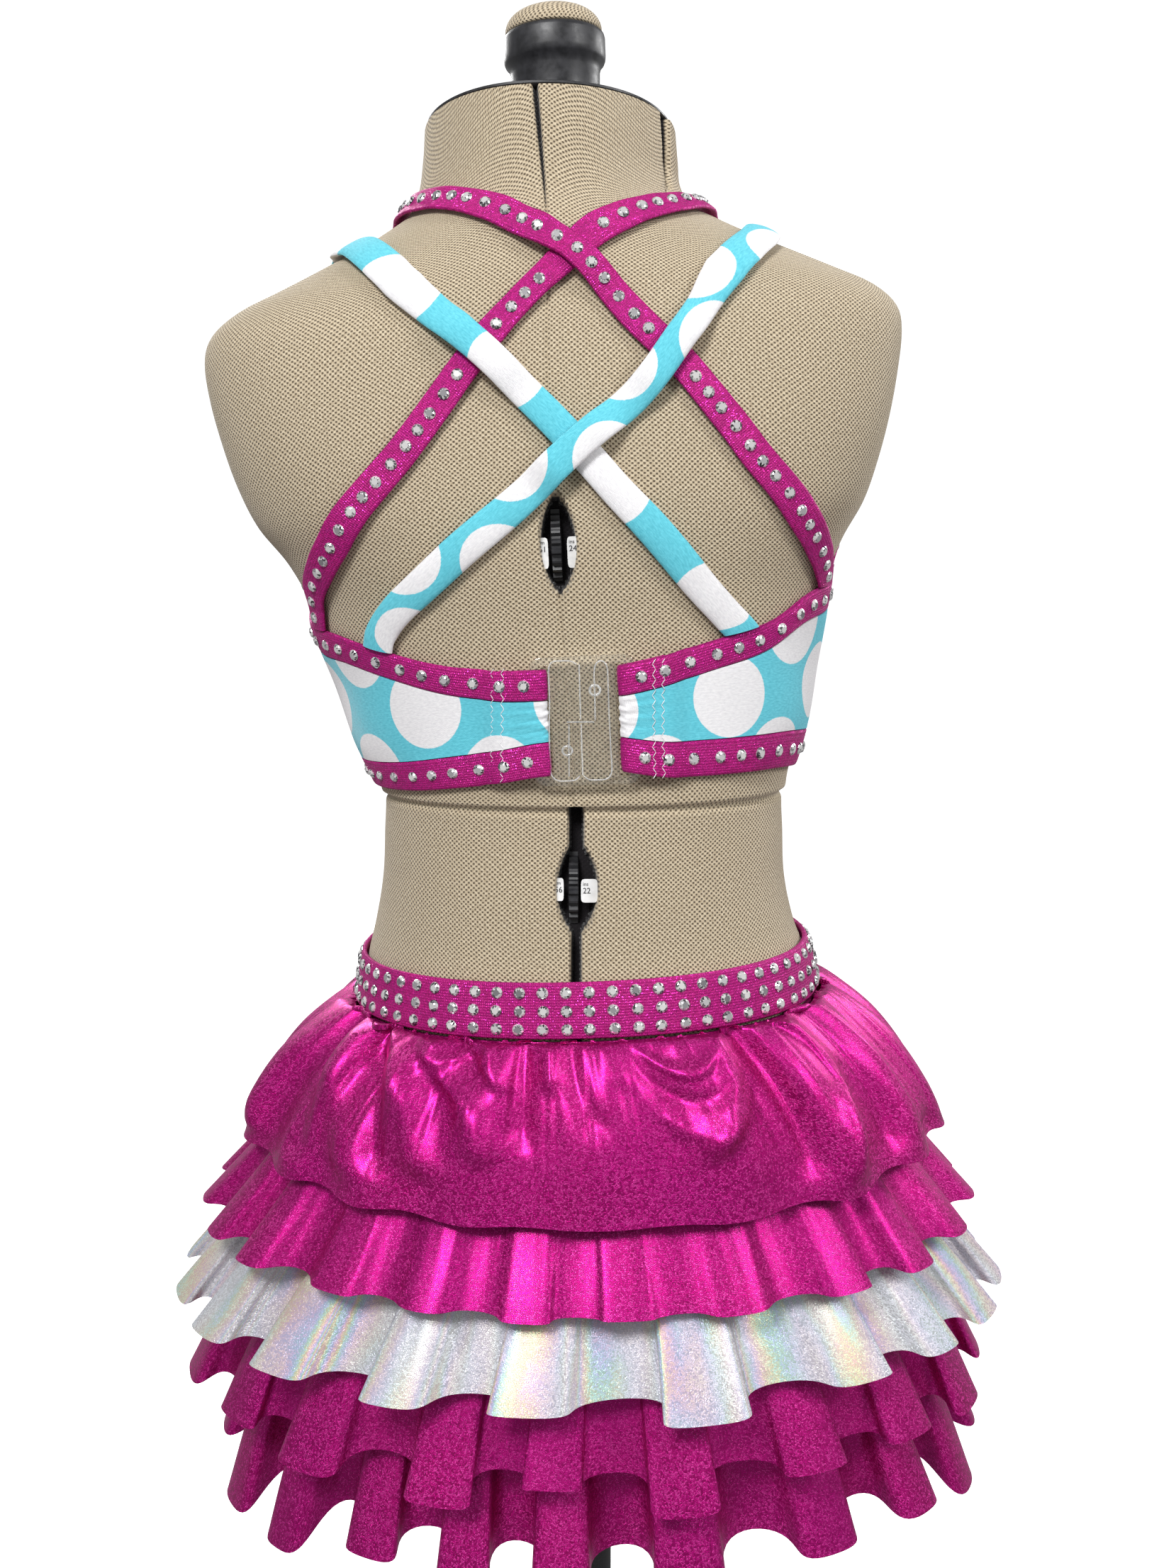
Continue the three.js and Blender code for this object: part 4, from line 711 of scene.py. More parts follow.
def form_shape():
    """The form's grid: fine columns near the back line, and each point sunk along its normal by the
    openings, the seam's dimple, the step between the two shells and the slot at the right side of the
    neck."""
    bearing = np.concatenate([
        np.arange(180, 10, -1.1), np.arange(10, -10, -0.25), np.arange(-10, -180, -1.1),
    ])
    z = np.concatenate([
        np.linspace(FORM_BOTTOM, 468, 8), np.linspace(470.5, 546, 36),
        np.linspace(546.8, 556, 13), np.linspace(558, NECK_TOP, 130),
    ])
    bearing, z = np.meshgrid(bearing, z)
    point, normal = form_frame(bearing, z)[:2]
    line = read_table(BACK_LINE, z)[..., 1]
    off = np.abs(point[..., 0] - line)
    behind = point[..., 1] > 0
    half = opening_half(z)
    opened = smooth((half + 0.7 - off) / 1.5) * (half > SHUT) * behind
    deep = np.where(z > 760, NECK_GAP_DEEP, WINDOW_DEEP)
    dimple = SEAM_DEEP * np.exp(-(off / SEAM_WIDE) ** 2) * (half <= SHUT) * behind
    step = SHELL_STEP * (1 - smooth((z - SPLIT_Z + 1.5) / 2)) * smooth((z - 505) / 40)
    step = step + SHELL_GROOVE * np.exp(-((z - SPLIT_Z + 2.4) / 1.5) ** 2)
    slot_off = np.abs(point[..., 0] - SLOT_X)
    slot_half = 0.4 + 0.8 * smooth((z - 806) / 40)
    slot = smooth(slot_half + 0.5 - slot_off) * smooth((z - SLOT_LOW) / 6) * behind
    flap = FLAP_RISE * smooth((SLOT_X - 0.5 - point[..., 0]) / 1.5) * smooth((z - SLOT_LOW) / 8) * behind
    sink = opened * deep + dimple + step + slot * SLOT_DEEP - flap
    outer = point - normal * sink[..., None]
    outer[..., 2] -= neck_slant(outer) * np.clip((z - 800) / 50, 0, 1)
    # Marks the gaps and the slot, which get near-black painted shade.
    field = np.maximum(opened, slot)
    return outer, field, point


def centred_lengths(points, middle):
    """Running lengths along each row, counted from one column, growing towards lower columns."""
    run = lengths(closed_round(points), 1)
    return run[:, middle:middle + 1] - run


form_outer, form_gap_shade, form_plain = form_shape()
form_u = centred_lengths(form_plain, form_plain.shape[1] // 2)
form_v = closed_round(lengths(form_plain, 0))
make_piece("form_cover", rod(form_outer, form_u, form_v), knit, ["form_body"],
           fields={"gap_shade": form_gap_shade})

# %% [markdown]
# Inside each window sit a ridged thumb wheel and two white labels with plain numbers. They are turned and
# flat shapes on the form's own back, a few millimetres under the knit. The numbers are text turned to
# mesh and laid on the labels.

# %% Dials in the windows
def on_back(x, z, lift):
    """A point given by how far across the back it lies, its height and its lift."""
    x, z, lift = np.broadcast_arrays(np.asarray(x, float), np.asarray(z, float), np.asarray(lift, float))
    return on_form(bearing_at(x, z), z, lift)


def thumb_wheel(name, x, z, radius=17, wide=4.4, ridges=26):
    """A wheel about an axis that runs across the back: its rim's radius rises and falls with the sine of
    its turn."""
    turn = np.linspace(0, 2 * np.pi, ridges * 8, endpoint=False)
    across = np.array([-0.5, -0.5, -0.42, 0.42, 0.5, 0.5]) * wide
    reach = np.array([0.2, 0.93, 0.985, 0.985, 0.93, 0.2]) * radius
    rim = np.array([0, 0.3, 1, 1, 0.3, 0]) * 0.75 * np.clip(1.6 * np.sin(ridges * turn), -1, 1)[:, None]
    reach = reach + rim
    centre = on_back(x, z, -2.6 - radius)
    rings = np.stack([centre[0] + across + 0 * reach, centre[1] + reach * np.cos(turn)[:, None],
                      centre[2] + reach * np.sin(turn)[:, None]], axis=-1)
    rings = np.swapaxes(rings, 0, 1)
    u, v = np.meshgrid(np.arange(len(across)) * 2.0, np.arange(len(turn) + 1) * 0.5, indexing="ij")
    return make_piece(name, rod(rings, u, v), black, sharp=35)


def dial_plate(name, x, z, wide, tall, thick, lift, finish):
    """A thin rounded plate on the back: a superellipse of squareness 6 filled by rings that shrink to its
    middle."""
    turn = np.linspace(0, 2 * np.pi, 48, endpoint=False)
    across = np.sign(np.cos(turn)) * np.abs(np.cos(turn)) ** (1 / 3) * wide / 2
    up = np.sign(np.sin(turn)) * np.abs(np.sin(turn)) ** (1 / 3) * tall / 2
    share = np.array([0.02, 1, 1, 0.02])[:, None]
    height = lift + np.array([0, 0, 1, 1])[:, None] * thick
    rings = on_back(x + across * share, z + up * share, height)
    u = looped(across) * share
    v = looped(up) * share
    return make_piece(name, rod(rings, u, v), finish, sharp=35)


def dial_text(name, words, x, z, size, lift):
    """Plain numbers laid on a label: text turned to mesh, its right towards the wearer's right as seen
    from behind."""
    curve = bpy.data.curves.new(name + "_text", "FONT")
    curve.body = words
    curve.size = size * 0.001
    curve.extrude = 0.00004
    curve.resolution_u = 3
    maker = bpy.data.objects.new(name + "_text", curve)
    bpy.context.scene.collection.objects.link(maker)
    bpy.context.view_layer.update()
    mesh = bpy.data.meshes.new_from_object(maker)
    bpy.data.objects.remove(maker)
    flat = np.empty(len(mesh.vertices) * 3, np.float32)
    mesh.vertices.foreach_get("co", flat)
    flat = flat.reshape(-1, 3).astype(float) * 1000
    placed = lean(on_back(x - flat[:, 0], z + flat[:, 1], lift + flat[:, 2]))
    mesh.vertices.foreach_set("co", (placed * 0.001).astype(np.float32).ravel())
    add_object(name, mesh, black)


thumb_wheel("dial_wheel_upper", 8.2, 661)
thumb_wheel("dial_wheel_lower", 6.6, 517)
LABEL_THICK = 0.5
LABEL_LIFT = -4.2
TEXT_LIFT = -3.6
# Rows: name, a label's place across, height, width and length, unit, number, the text's place across
LABELS = [
    ("upper_cm", 14.3, 658, 5.4, 13, "cm", "61", 15.6),
    ("upper_inch", 0.9, 658, 5.6, 13, "ins", "24", 3.0),
    ("lower_cm", 13.0, 517, 5.0, 9.6, "cm", "56", 14.4),
    ("lower_inch", -0.6, 516.5, 7.2, 9.8, "ins", "22", 2.2),
]
for name, x, z, wide, tall, unit_words, number, text_x in LABELS:
    dial_plate("dial_label_" + name, x, z, wide, tall, LABEL_THICK, LABEL_LIFT, label_white)
    dial_text("dial_unit_" + name, unit_words, text_x, z + tall / 2 - 2.8, 2.2, TEXT_LIFT)
    dial_text("dial_number_" + name, number, text_x, z + tall / 2 - 6.0, 3.4, TEXT_LIFT)

# %% [markdown]
# Neck plate, knob and stand are turned shapes. A lathe profile carried round an axis by numpy keeps their
# edges rounded; the neck's pieces are cut on the same slant as the neck itself.

# %% Neck, knob and stand
def turned_rings(profile, columns=72):
    """Rings of a profile of radius and height about the upright axis."""
    turn = np.linspace(0, 2 * np.pi, columns, endpoint=False)
    radius = np.array([row[0] for row in profile], float)[:, None]
    height = np.array([row[1] for row in profile], float)[:, None]
    return np.stack(np.broadcast_arrays(radius * np.cos(turn), radius * np.sin(turn), height), axis=-1)


def turned_piece(name, rings, finish, node_name, leaned=True, sharp=40):
    """A rod of rings with cloth places from its own running lengths."""
    closed = closed_round(rings)
    shape = rod(rings, lengths(closed, 0), lengths(closed, 1))
    return make_piece(name, shape, finish, [node_name], sharp=sharp, leaned=leaned)


plate_turn = np.linspace(360, 0, 120, endpoint=False)
plate_ring = read_table(FORM_RINGS, np.full(120, NECK_TOP))[:, 1:]
plate_rings = []
for inset, height in [(2.2, 850.3), (1.2, 850.5), (0.7, 850.9), (0.7, 851.7), (1.2, 852.1), (2.2, 852.3)]:
    shrunk = plate_ring - np.array([inset, inset, inset, 0, 0])
    ring = ring_point(shrunk, plate_turn, np.full(120, height))
    ring[:, 2] -= neck_slant(ring)
    plate_rings.append(ring)
turned_piece("neck_plate", np.stack(plate_rings), black, "form_neck_plate")

knob_rings = turned_rings([
    (19, 852.6), (19.2, 858), (19.6, 868), (20.4, 870.5), (21.8, 872), (22.3, 873.2), (22.5, 875),
    (22.5, 882), (22.2, 883.2), (21.4, 884),
])
knob_rings[0, :, 2] -= neck_slant(knob_rings[0])
turned_piece("knob", knob_rings, black, "neck_knob")
pad_turn = np.linspace(0, 1, 14) * 0.5 * math.pi * 0.985
pad_profile = [(20.6, 884.3), (21.2, 884.9)] + [
    (21.3 * math.cos(a) ** 0.8, 885.2 + 10.6 * math.sin(a) ** 0.9) for a in pad_turn]
turned_piece("knob_pad", turned_rings(pad_profile), knit, "neck_knob_pad", sharp=80)
turned_piece("base_disc", turned_rings([
    (0.5, 0), (138.6, 0), (139.6, 0.4), (140, 1.4), (140, 9.8), (139.5, 11.6), (138.2, 13.1), (136, 14),
    (30, 14.1), (0.5, 14.1),
], 128), powder, "stand_base", leaned=False)
turned_piece("pole", turned_rings([
    (0.5, 14.3), (19.3, 14.3), (19.5, 14.8), (19.5, 21.5), (18.6, 22.6), (13.5, 26), (11.8, 28.5),
    (11.5, 30), (11.5, 289.2), (11.1, 289.7), (0.5, 289.7),
], 64), powder, "stand_pole", leaned=False)

# %% [markdown]
# The top is a stretched band: jersey panels between folded bindings. On the real one each wing's end goes
# round the clasp's bar and is sewn back on itself. The same path is followed here with many more points,
# and the jersey is drawn in by the small gathers that the bar makes.

# %% The band's edges and its path round the clasp
# Columns: bearing, low edge, high edge
LEFT_WING_EDGES = np.array([
    [0, 566, 610.6], [9, 565.7, 610.6], [18, 563, 611], [31, 560.5, 615], [45, 558, 622.5],
    [58, 557, 629], [73, 557, 632.5], [90, 558, 640],
])
RIGHT_WING_EDGES = np.array([
    [0, 567.5, 610.6], [7, 567.3, 610.6], [19, 563.6, 614], [31, 563, 619.5], [45, 563, 626],
    [58, 563, 637], [73, 562, 641], [90, 561, 645],
])
FRONT_EDGES = np.array([
    [90, 558, 640], [97, 558, 658], [106, 557, 679], [118, 556, 697], [132, 556, 709], [146, 556, 714],
    [158, 556, 707], [169, 556, 698], [180, 556, 694], [191, 556, 698], [202, 556, 707], [214, 556, 714],
    [228, 557, 709], [242, 558, 697], [254, 559, 679], [263, 560, 661], [270, 561, 645],
])
SEAM_GAP = 0.3
BODY_GAP = 1.0
JERSEY = 1.4
BINDING = 2.2
UPPER_BINDING = 12.6
LOWER_BINDING = 14.4
BAND_LIFT = BODY_GAP + BINDING / 2
OUTER_LIFT = BAND_LIFT + BINDING / 2
CLASP_BACK = 3.7
CLASP_THICK = 1.5
CLASP_FACE = CLASP_BACK + CLASP_THICK
OVER_LIFT = CLASP_FACE + 0.5 + BINDING / 2
TURN_X = 17.6
MIDDLE_Z = 588.4


def wing_path():
    """Places across the back and lifts of a wing's middle, from its turned-back end round the bar to open
    cloth: a straight run, half a circle of turn, and a slow fall back to the form, resampled as a smooth
    curve."""
    radius = (OVER_LIFT - BAND_LIFT) / 2
    turn = np.linspace(0, math.pi, 9)
    x = np.concatenate([[34, 25.8], TURN_X - radius * np.sin(turn), [23, 29, 35, 42]])
    rise = radius * (1 - np.cos(turn))
    over = [OVER_LIFT, OVER_LIFT - 1.2, BAND_LIFT + BINDING + SEAM_GAP + 0.4, BAND_LIFT + 0.4]
    lift = np.concatenate([[BAND_LIFT, BAND_LIFT], BAND_LIFT + rise, over])
    rows = np.column_stack([np.arange(len(x)), x, lift])
    return read_table(rows, np.linspace(0, len(x) - 1, 70))[:, 1:]


def wing_grid(side, edges, share, offset):
    """A layer of a wing: at each share of the way from the low to the high line, the path moved across by
    an offset along its own normal. low and high are read at the bearing of the place, the turned end
    being bent in x."""
    path = wing_path()
    tangent = unit(np.gradient(path, axis=0))
    far = np.linspace(26, 89.92, 80)
    low_line, high_line = edges
    offset = np.broadcast_to(offset, (len(share), len(path) + len(far)))
    lines = []
    for row, part in enumerate(share):
        near_offset = offset[row, :len(path)]
        x = side * (path[:, 0] - tangent[:, 1] * near_offset)
        guess = np.abs(bearing_at(x, np.full(len(x), MIDDLE_Z)))
        z = low_line(guess) + (high_line(guess) - low_line(guess)) * part
        near = on_form(bearing_at(x, z), z, path[:, 1] + tangent[:, 0] * near_offset)
        z = low_line(far) + (high_line(far) - low_line(far)) * part
        line = np.concatenate([near, on_form(side * far, z, BAND_LIFT + offset[row, len(path):])])
        lines.append(line[::-1] if side > 0 else line)
    return np.stack(lines)


def dot_field(points, dots, radius=16.4):
    """How far each point lies inside the nearest dot, in millimetres: the radius less the distance to its
    centre."""
    nearest = np.full(len(points), 1e9)
    for at, z in dots:
        nearest = np.minimum(nearest, np.linalg.norm(points - on_form(at, z, BAND_LIFT), axis=1))
    return radius - nearest


BACK_DOTS = [
    (35.7, 596), (52, 622), (60, 568), (0.6, 598), (19.2, 567), (78, 600), (92, 640), (99, 570),
    (-35.7, 595), (-54.5, 624), (-75, 598), (-54.5, 567.5), (-4.4, 592.5), (-18.3, 564.5), (-94, 570),
    (-96, 632),
]
FRONT_DOTS = [
    (at, z) for row, z in enumerate([570, 591, 612, 633, 654, 675, 696])
    for at in np.arange(128 + 17 * (row % 2), 240, 34)
]
DOTS = BACK_DOTS + FRONT_DOTS
STRETCHED_DOT = 17.4
print("dots on the band:", len(DOTS))

# %% Jersey wings and panel
def edge_reader(table, column, beyond=0.0):
    """An edge's height at each bearing, moved up by a distance."""
    return lambda bearing: read_table(table, bearing)[..., column] + beyond


def wing_jersey(label, side, table):
    """The jersey of one wing between its bindings. Near the bar its two faces ripple up and down the
    cloth."""
    low = edge_reader(table, 1, LOWER_BINDING + SEAM_GAP)
    high = edge_reader(table, 2, -UPPER_BINDING - SEAM_GAP)
    share = np.linspace(0, 1, 41)
    run = np.concatenate([np.linspace(-16, 30, 70), np.linspace(34, 140, 80)])
    near_bar = np.exp(-((run - 8) / 13) ** 2)
    ripple = 0.3 * np.sin(2 * np.pi * (share[:, None] ** 1.3 * 3.4 + 0.25 * np.sin(run / 7)[None]))
    ripple = ripple + 0.15 * np.sin(2 * np.pi * (share[:, None] * 7 + run[None] / 21))
    slack = 0.35 * np.sin(run[None] / 11 + 3 * share[:, None]) * smooth((run - 30) / 30)
    edge_calm = np.sin(np.pi * share)[:, None] ** 0.5
    ripple = (ripple * near_bar + slack) * edge_calm
    outer = wing_grid(side, (low, high), share, JERSEY / 2 + ripple)
    inner = wing_grid(side, (low, high), share, -JERSEY / 2 + ripple)
    u, v = lengths(outer, 1), lengths(outer, 0)
    shape = wall(outer, inner, u, v, False)
    piece = make_piece("jersey_wing_" + label, shape, jersey, ["back_wing_" + label],
                       fields={"dot": dot_field(shape[0], BACK_DOTS, STRETCHED_DOT)})


def inside_edge(bearing, width):
    """The place a width inside the front panel's upper edge, square to the edge, on the form's
    surface."""
    high = edge_reader(FRONT_EDGES, 2)
    z = high(bearing)
    frame_here = form_frame(bearing, z)
    run = 2 * frame_here[4]
    rise = (high(bearing + 1) - high(bearing - 1)) * frame_here[5]
    size = np.hypot(run, rise)
    at = bearing + width * rise / size / frame_here[4]
    return np.clip(at, 90.08, 269.92), z - width * run / size / frame_here[5]


def panel_jersey():
    """The front panel: straight lines of points from its lower to its upper edge, with slack folds under
    the arms."""
    bearing = np.linspace(269.92, 90.08, 160)
    low = edge_reader(FRONT_EDGES, 1, LOWER_BINDING + SEAM_GAP)(bearing)
    top_at, top_z = inside_edge(bearing, UPPER_BINDING + SEAM_GAP)
    share = np.linspace(0, 1, 41)[:, None]
    at = bearing + (top_at - bearing) * share
    z = low + (top_z - low) * share
    fold = 0.5 * np.sin(at / 6.5 + share * 5) * np.exp(-((np.abs(at - 180) - 70) / 22) ** 2)
    fold = (fold + 0.25 * np.sin(at / 11 - share * 7)) * np.sin(np.pi * share) ** 0.5
    outer = on_form(at, z, BAND_LIFT + JERSEY / 2 + fold)
    inner = on_form(at, z, BAND_LIFT - JERSEY / 2 + fold)
    u, v = lengths(outer, 1), lengths(outer, 0)
    shape = wall(outer, inner, u, v, False)
    piece = make_piece("jersey_front", shape, jersey, ["front_panel"],
                       fields={"dot": dot_field(shape[0], DOTS)})


wing_jersey("left", 1, LEFT_WING_EDGES)
wing_jersey("right", -1, RIGHT_WING_EDGES)
panel_jersey()

# %% [markdown]
# A binding is a strip folded over a raw edge and stitched down. Its two folds are round, and it is
# thickest in its middle. A rounded section, a superellipse, is carried along each edge; a shallow groove
# is pressed in where the stitching runs, near the side that faces the jersey.

# %% Folded bindings
def section(squareness, corners=20):
    """Across and through places of a superellipse with a width and a height of 1."""
    turn = np.linspace(0, 2 * np.pi, corners, endpoint=False)
    across = 0.5 * np.sign(np.cos(turn)) * np.abs(np.cos(turn)) ** (2 / squareness)
    through = 0.5 * np.sign(np.sin(turn)) * np.abs(np.sin(turn)) ** (2 / squareness)
    return across, through


GROOVE_AT = 0.31
GROOVE_WIDE = 0.05
GROOVE_DEEP = 0.38


def folded_binding(name, node_name, width, stitched_low, row_at):
    """A binding: the section's across place picks a share of its width and its through place an offset,
    less a groove under the stitching. row_at gives the row of points for a share and an offset."""
    across, through = section(4, 24)
    groove_at = -GROOVE_AT if stitched_low else GROOVE_AT
    groove = GROOVE_DEEP * np.exp(-((across - groove_at) / GROOVE_WIDE) ** 2) * (through > 0)
    offset = through * BINDING - groove
    rings = np.stack([row_at(part, out) for part, out in zip(across + 0.5, offset)], axis=1)
    u = closed_round(lengths(rings, 0))
    v = np.tile(looped(across) * width + looped(through) * BINDING, (len(rings), 1))
    piece = make_piece(name, rod(rings, u, v), binding, [node_name])


def wing_row(side, low_line, high_line):
    """Rows of a binding that lies between two lines on a wing."""
    return lambda part, out: wing_grid(side, (low_line, high_line), [part], out)[0]


def front_row(bearing, place_at):
    """Rows of a binding on the front. place_at gives bearing and height for a share of its width."""
    return lambda part, out: on_form(*place_at(bearing, part), BAND_LIFT + out)


def upper_place(bearing, part):
    """From the panel's side of the upper binding to its edge."""
    inner_at, inner_z = inside_edge(bearing, UPPER_BINDING)
    high = edge_reader(FRONT_EDGES, 2)(bearing)
    return inner_at + (bearing - inner_at) * part, inner_z + (high - inner_z) * part


def lower_place(bearing, part):
    """From the lower edge up."""
    return bearing, edge_reader(FRONT_EDGES, 1)(bearing) + LOWER_BINDING * part


for label, side, table in (("left", 1, LEFT_WING_EDGES), ("right", -1, RIGHT_WING_EDGES)):
    folded_binding("upper_binding_" + label, "binding_upper_back_" + label, UPPER_BINDING, True,
                   wing_row(side, edge_reader(table, 2, -UPPER_BINDING), edge_reader(table, 2)))
    folded_binding("lower_binding_" + label, "binding_lower_back_" + label, LOWER_BINDING, False,
                   wing_row(side, edge_reader(table, 1), edge_reader(table, 1, LOWER_BINDING)))
for name, node_name, start, end, count in (
    ("armhole_binding_left", "binding_armhole_left", 145.85, 90.08, 70),
    ("neckline_binding", "binding_neckline", 213.85, 146.15, 90),
    ("armhole_binding_right", "binding_armhole_right", 269.92, 214.15, 70),
):
    folded_binding(name, node_name, UPPER_BINDING, True,
                   front_row(np.linspace(start, end, count), upper_place))
folded_binding("lower_binding_front", "binding_lower_front", LOWER_BINDING, False,
               front_row(np.linspace(269.92, 90.08, 160), lower_place))

# %% [markdown]
# The straps are soft tubes that run over the form from the band to the front panel. A Blender curve with
# a bevel would twist and cut into the shoulders, so each ring of the tube is set out on the form's own
# surface, square to the route, and lifted where it passes over another strap.

# %% Strap routes
# Columns: bearing, height
HALTER_LEFT_ROUTE = np.array([
    [66, 636], [60, 646], [49.2, 658], [40.3, 669], [31, 685], [24.1, 700], [18.2, 717], [12.7, 735],
    [6.2, 756], [0.5, 772], [-8, 786], [-20, 794], [-36, 799], [-58, 803], [-90, 805], [-122, 796],
    [-146, 776], [-158, 748], [-163, 722], [-165, 704],
])
HALTER_RIGHT_ROUTE = np.array([
    [-68, 639], [-62.8, 647], [-52.3, 659], [-42.5, 672], [-33.3, 690], [-26, 711], [-19.2, 733],
    [-11.8, 754], [-5.1, 777], [0.5, 786], [8.5, 794], [20, 801], [40, 807], [66, 809], [92, 809],
    [122, 799], [146, 776], [158, 748], [163, 722], [165, 704],
])
CROSS_LEFT_ROUTE = np.array([
    [-37.2, 621], [-32.9, 630], [-27.8, 640], [-21.9, 653], [-11.4, 678], [-4.5, 698], [4.2, 723],
    [12.6, 746], [22.4, 766], [34, 779], [50, 788], [68, 791], [90, 792], [118, 784], [136, 767],
    [142, 748], [144.5, 730], [146, 716],
])
CROSS_RIGHT_ROUTE = np.array([
    [43.3, 624.5], [40.5, 629], [35, 638], [27.5, 648], [19.9, 659], [7.3, 678], [-3.2, 699],
    [-13.5, 721], [-19.8, 744], [-25.8, 765], [-36, 777], [-53, 786], [-70, 790.5], [-90, 792],
    [-118, 784], [-136, 767], [-142, 748], [-144.5, 730], [-146, 716],
])
STRAP_END_GAP = 0.45


def wing_edge(table):
    """The height of a wing's upper edge at a bearing of either sign."""
    return lambda at: read_table(table, np.abs(at))[..., 2]


def front_edge(at):
    """The height of the front panel's upper edge at a bearing of either sign."""
    return read_table(FRONT_EDGES, np.where(at < 0, at + 360, at))[..., 2]


def strap_path(route, start_edge, end_edge):
    """Running length, bearing and height along a route, whose ends are set on the edges that they are
    sewn to."""
    rows = np.column_stack([np.arange(len(route)), route]).astype(float)
    rows[0, 2] = start_edge(rows[0, 1]) + STRAP_END_GAP
    rows[-1, 2] = end_edge(rows[-1, 1]) + STRAP_END_GAP
    spots = read_table(rows, np.linspace(0, len(route) - 1, (len(route) - 1) * 8 + 1))[:, 1:]
    return np.column_stack([lengths(on_form(spots[:, 0], spots[:, 1], 0.0), 0), spots])


def crossing(upper, lower):
    """The running length on the upper strap where it lies nearest to the lower one."""
    one = on_form(upper[:, 1], upper[:, 2], 0.0)
    other = on_form(lower[:, 1], lower[:, 2], 0.0)
    gap = np.linalg.norm(one[:, None] - other[None], axis=-1).min(axis=1)
    return upper[np.argmin(gap), 0]


LEFT_EDGE = wing_edge(LEFT_WING_EDGES)
RIGHT_EDGE = wing_edge(RIGHT_WING_EDGES)
STRAPS = {
    "halter_left": {"route": HALTER_LEFT_ROUTE, "start": LEFT_EDGE, "over": []},
    "halter_right": {"route": HALTER_RIGHT_ROUTE, "start": RIGHT_EDGE, "over": ["halter_left"]},
    "cross_left": {"route": CROSS_LEFT_ROUTE, "start": RIGHT_EDGE, "over": ["halter_left"]},
    "cross_right": {"route": CROSS_RIGHT_ROUTE, "start": LEFT_EDGE,
                    "over": ["halter_right", "cross_left"]},
}
HALTER = {"width": 12.5, "thick": 2.4, "gap": 1.5, "square": 3.2, "cloth": (binding, "magenta_foil")}
CROSS = {"width": 13.4, "thick": 4.0, "gap": 1.0, "square": 2.1, "cloth": (jersey, "dotted_jersey")}
for name, strap in STRAPS.items():
    strap.update(HALTER if name.startswith("halter") else CROSS)
    strap["path"] = strap_path(strap["route"], strap["start"], front_edge)
    print(name, "length", round(float(strap["path"][-1, 0])), "mm")


# %% Straps as tubes on the form
def strap_lift(strap, far):
    """The lift of a strap's middle: its gap and half its thickness, and a flat hump with smooth ramps on
    each strap that it passes over."""
    hump = np.zeros_like(far)
    for lower_name in strap["over"]:
        lower = STRAPS[lower_name]
        height = lower["gap"] + lower["thick"] + 0.7 - strap["gap"]
        beyond = np.abs(far - crossing(strap["path"], lower["path"])) - 10
        hump = np.maximum(hump, height * (1 - smooth(beyond / 16)))
    return strap["gap"] + strap["thick"] / 2 + hump


def strap_places(strap, far, across):
    """Bearing and height of places a distance along and a distance across a strap. Across is square to
    the route, and turns to the edge's own direction within one width of each end."""
    path = strap["path"]
    total = path[-1, 0]
    spot = read_table(path, far)
    frame_here = form_frame(spot[:, 1], spot[:, 2])
    per_degree, per_height = frame_here[4], frame_here[5]
    ahead = read_table(path, np.minimum(far + 1, total))
    back = read_table(path, np.maximum(far - 1, 0))
    around = (ahead[:, 1] - back[:, 1]) * per_degree
    up = (ahead[:, 2] - back[:, 2]) * per_height
    size = np.hypot(around, up)
    around, up = around / size, up / size
    near_start = far < total / 2
    slope_start = strap["start"](spot[:, 1] + 1) - strap["start"](spot[:, 1] - 1)
    slope_end = front_edge(spot[:, 1] + 1) - front_edge(spot[:, 1] - 1)
    slope = np.where(near_start, slope_start, slope_end) * per_height / (2 * per_degree)
    cut = np.abs(up - slope * around)
    share = 1 - smooth(np.minimum(far, total - far) / strap["width"])
    side_around = up + (np.sign(up) / cut - up) * share
    side_up = -around + (slope * np.sign(up) / cut + around) * share
    at = spot[:, 1, None] + side_around[:, None] * across / per_degree[:, None]
    z = spot[:, 2, None] + side_up[:, None] * across / per_height[:, None]
    return at, z


def strap_rod(name, dots=(), radius=16.0):
    """A strap's rings of a rounded section. Fine slack ripples run along it, and dots are given along and
    across."""
    strap = STRAPS[name]
    total = strap["path"][-1, 0]
    far = np.linspace(0, total, 260)
    across, through = section(strap["square"], 24)
    at, z = strap_places(strap, far, across * strap["width"])
    slack = 0.12 * np.sin(far / 3.1 + 2 * np.sin(far / 19))[:, None] * np.abs(across) * 2
    swell = (1 + 0.1 * np.sin(far / 23))[:, None]
    lift = strap_lift(strap, far)[:, None] + through * strap["thick"] * swell
    rings = on_form(at, z, lift + slack)
    u = np.tile(far[:, None], (1, 25))
    v = np.tile(looped(across) * strap["width"], (len(far), 1))
    inside = np.full((len(far), 24), -9.0)
    for along, aside in dots:
        distance = np.hypot(far[:, None] - along, (across * strap["width"] - aside)[None])
        inside = np.maximum(inside, radius - distance)
    finish, slot_name = strap["cloth"]
    piece = make_piece("tube_" + name, rod(rings, u, v), finish, ["strap_" + name],
                       fields={"dot": inside})


CROSS_LEFT_DOTS = [(20, 1), (82, 0), (145, -1), (201, 1), (258, 0), (318, 1), (380, 0)]
CROSS_RIGHT_DOTS = [
    (14, -13), (40, 14), (67, -14), (97, 14), (128, -14), (158, 14), (190, -13), (213, 12), (243, -13),
    (272, 14), (301, -14), (330, 14), (360, -14),
]
strap_rod("halter_left")
strap_rod("halter_right")
strap_rod("cross_left", CROSS_LEFT_DOTS)
strap_rod("cross_right", CROSS_RIGHT_DOTS)

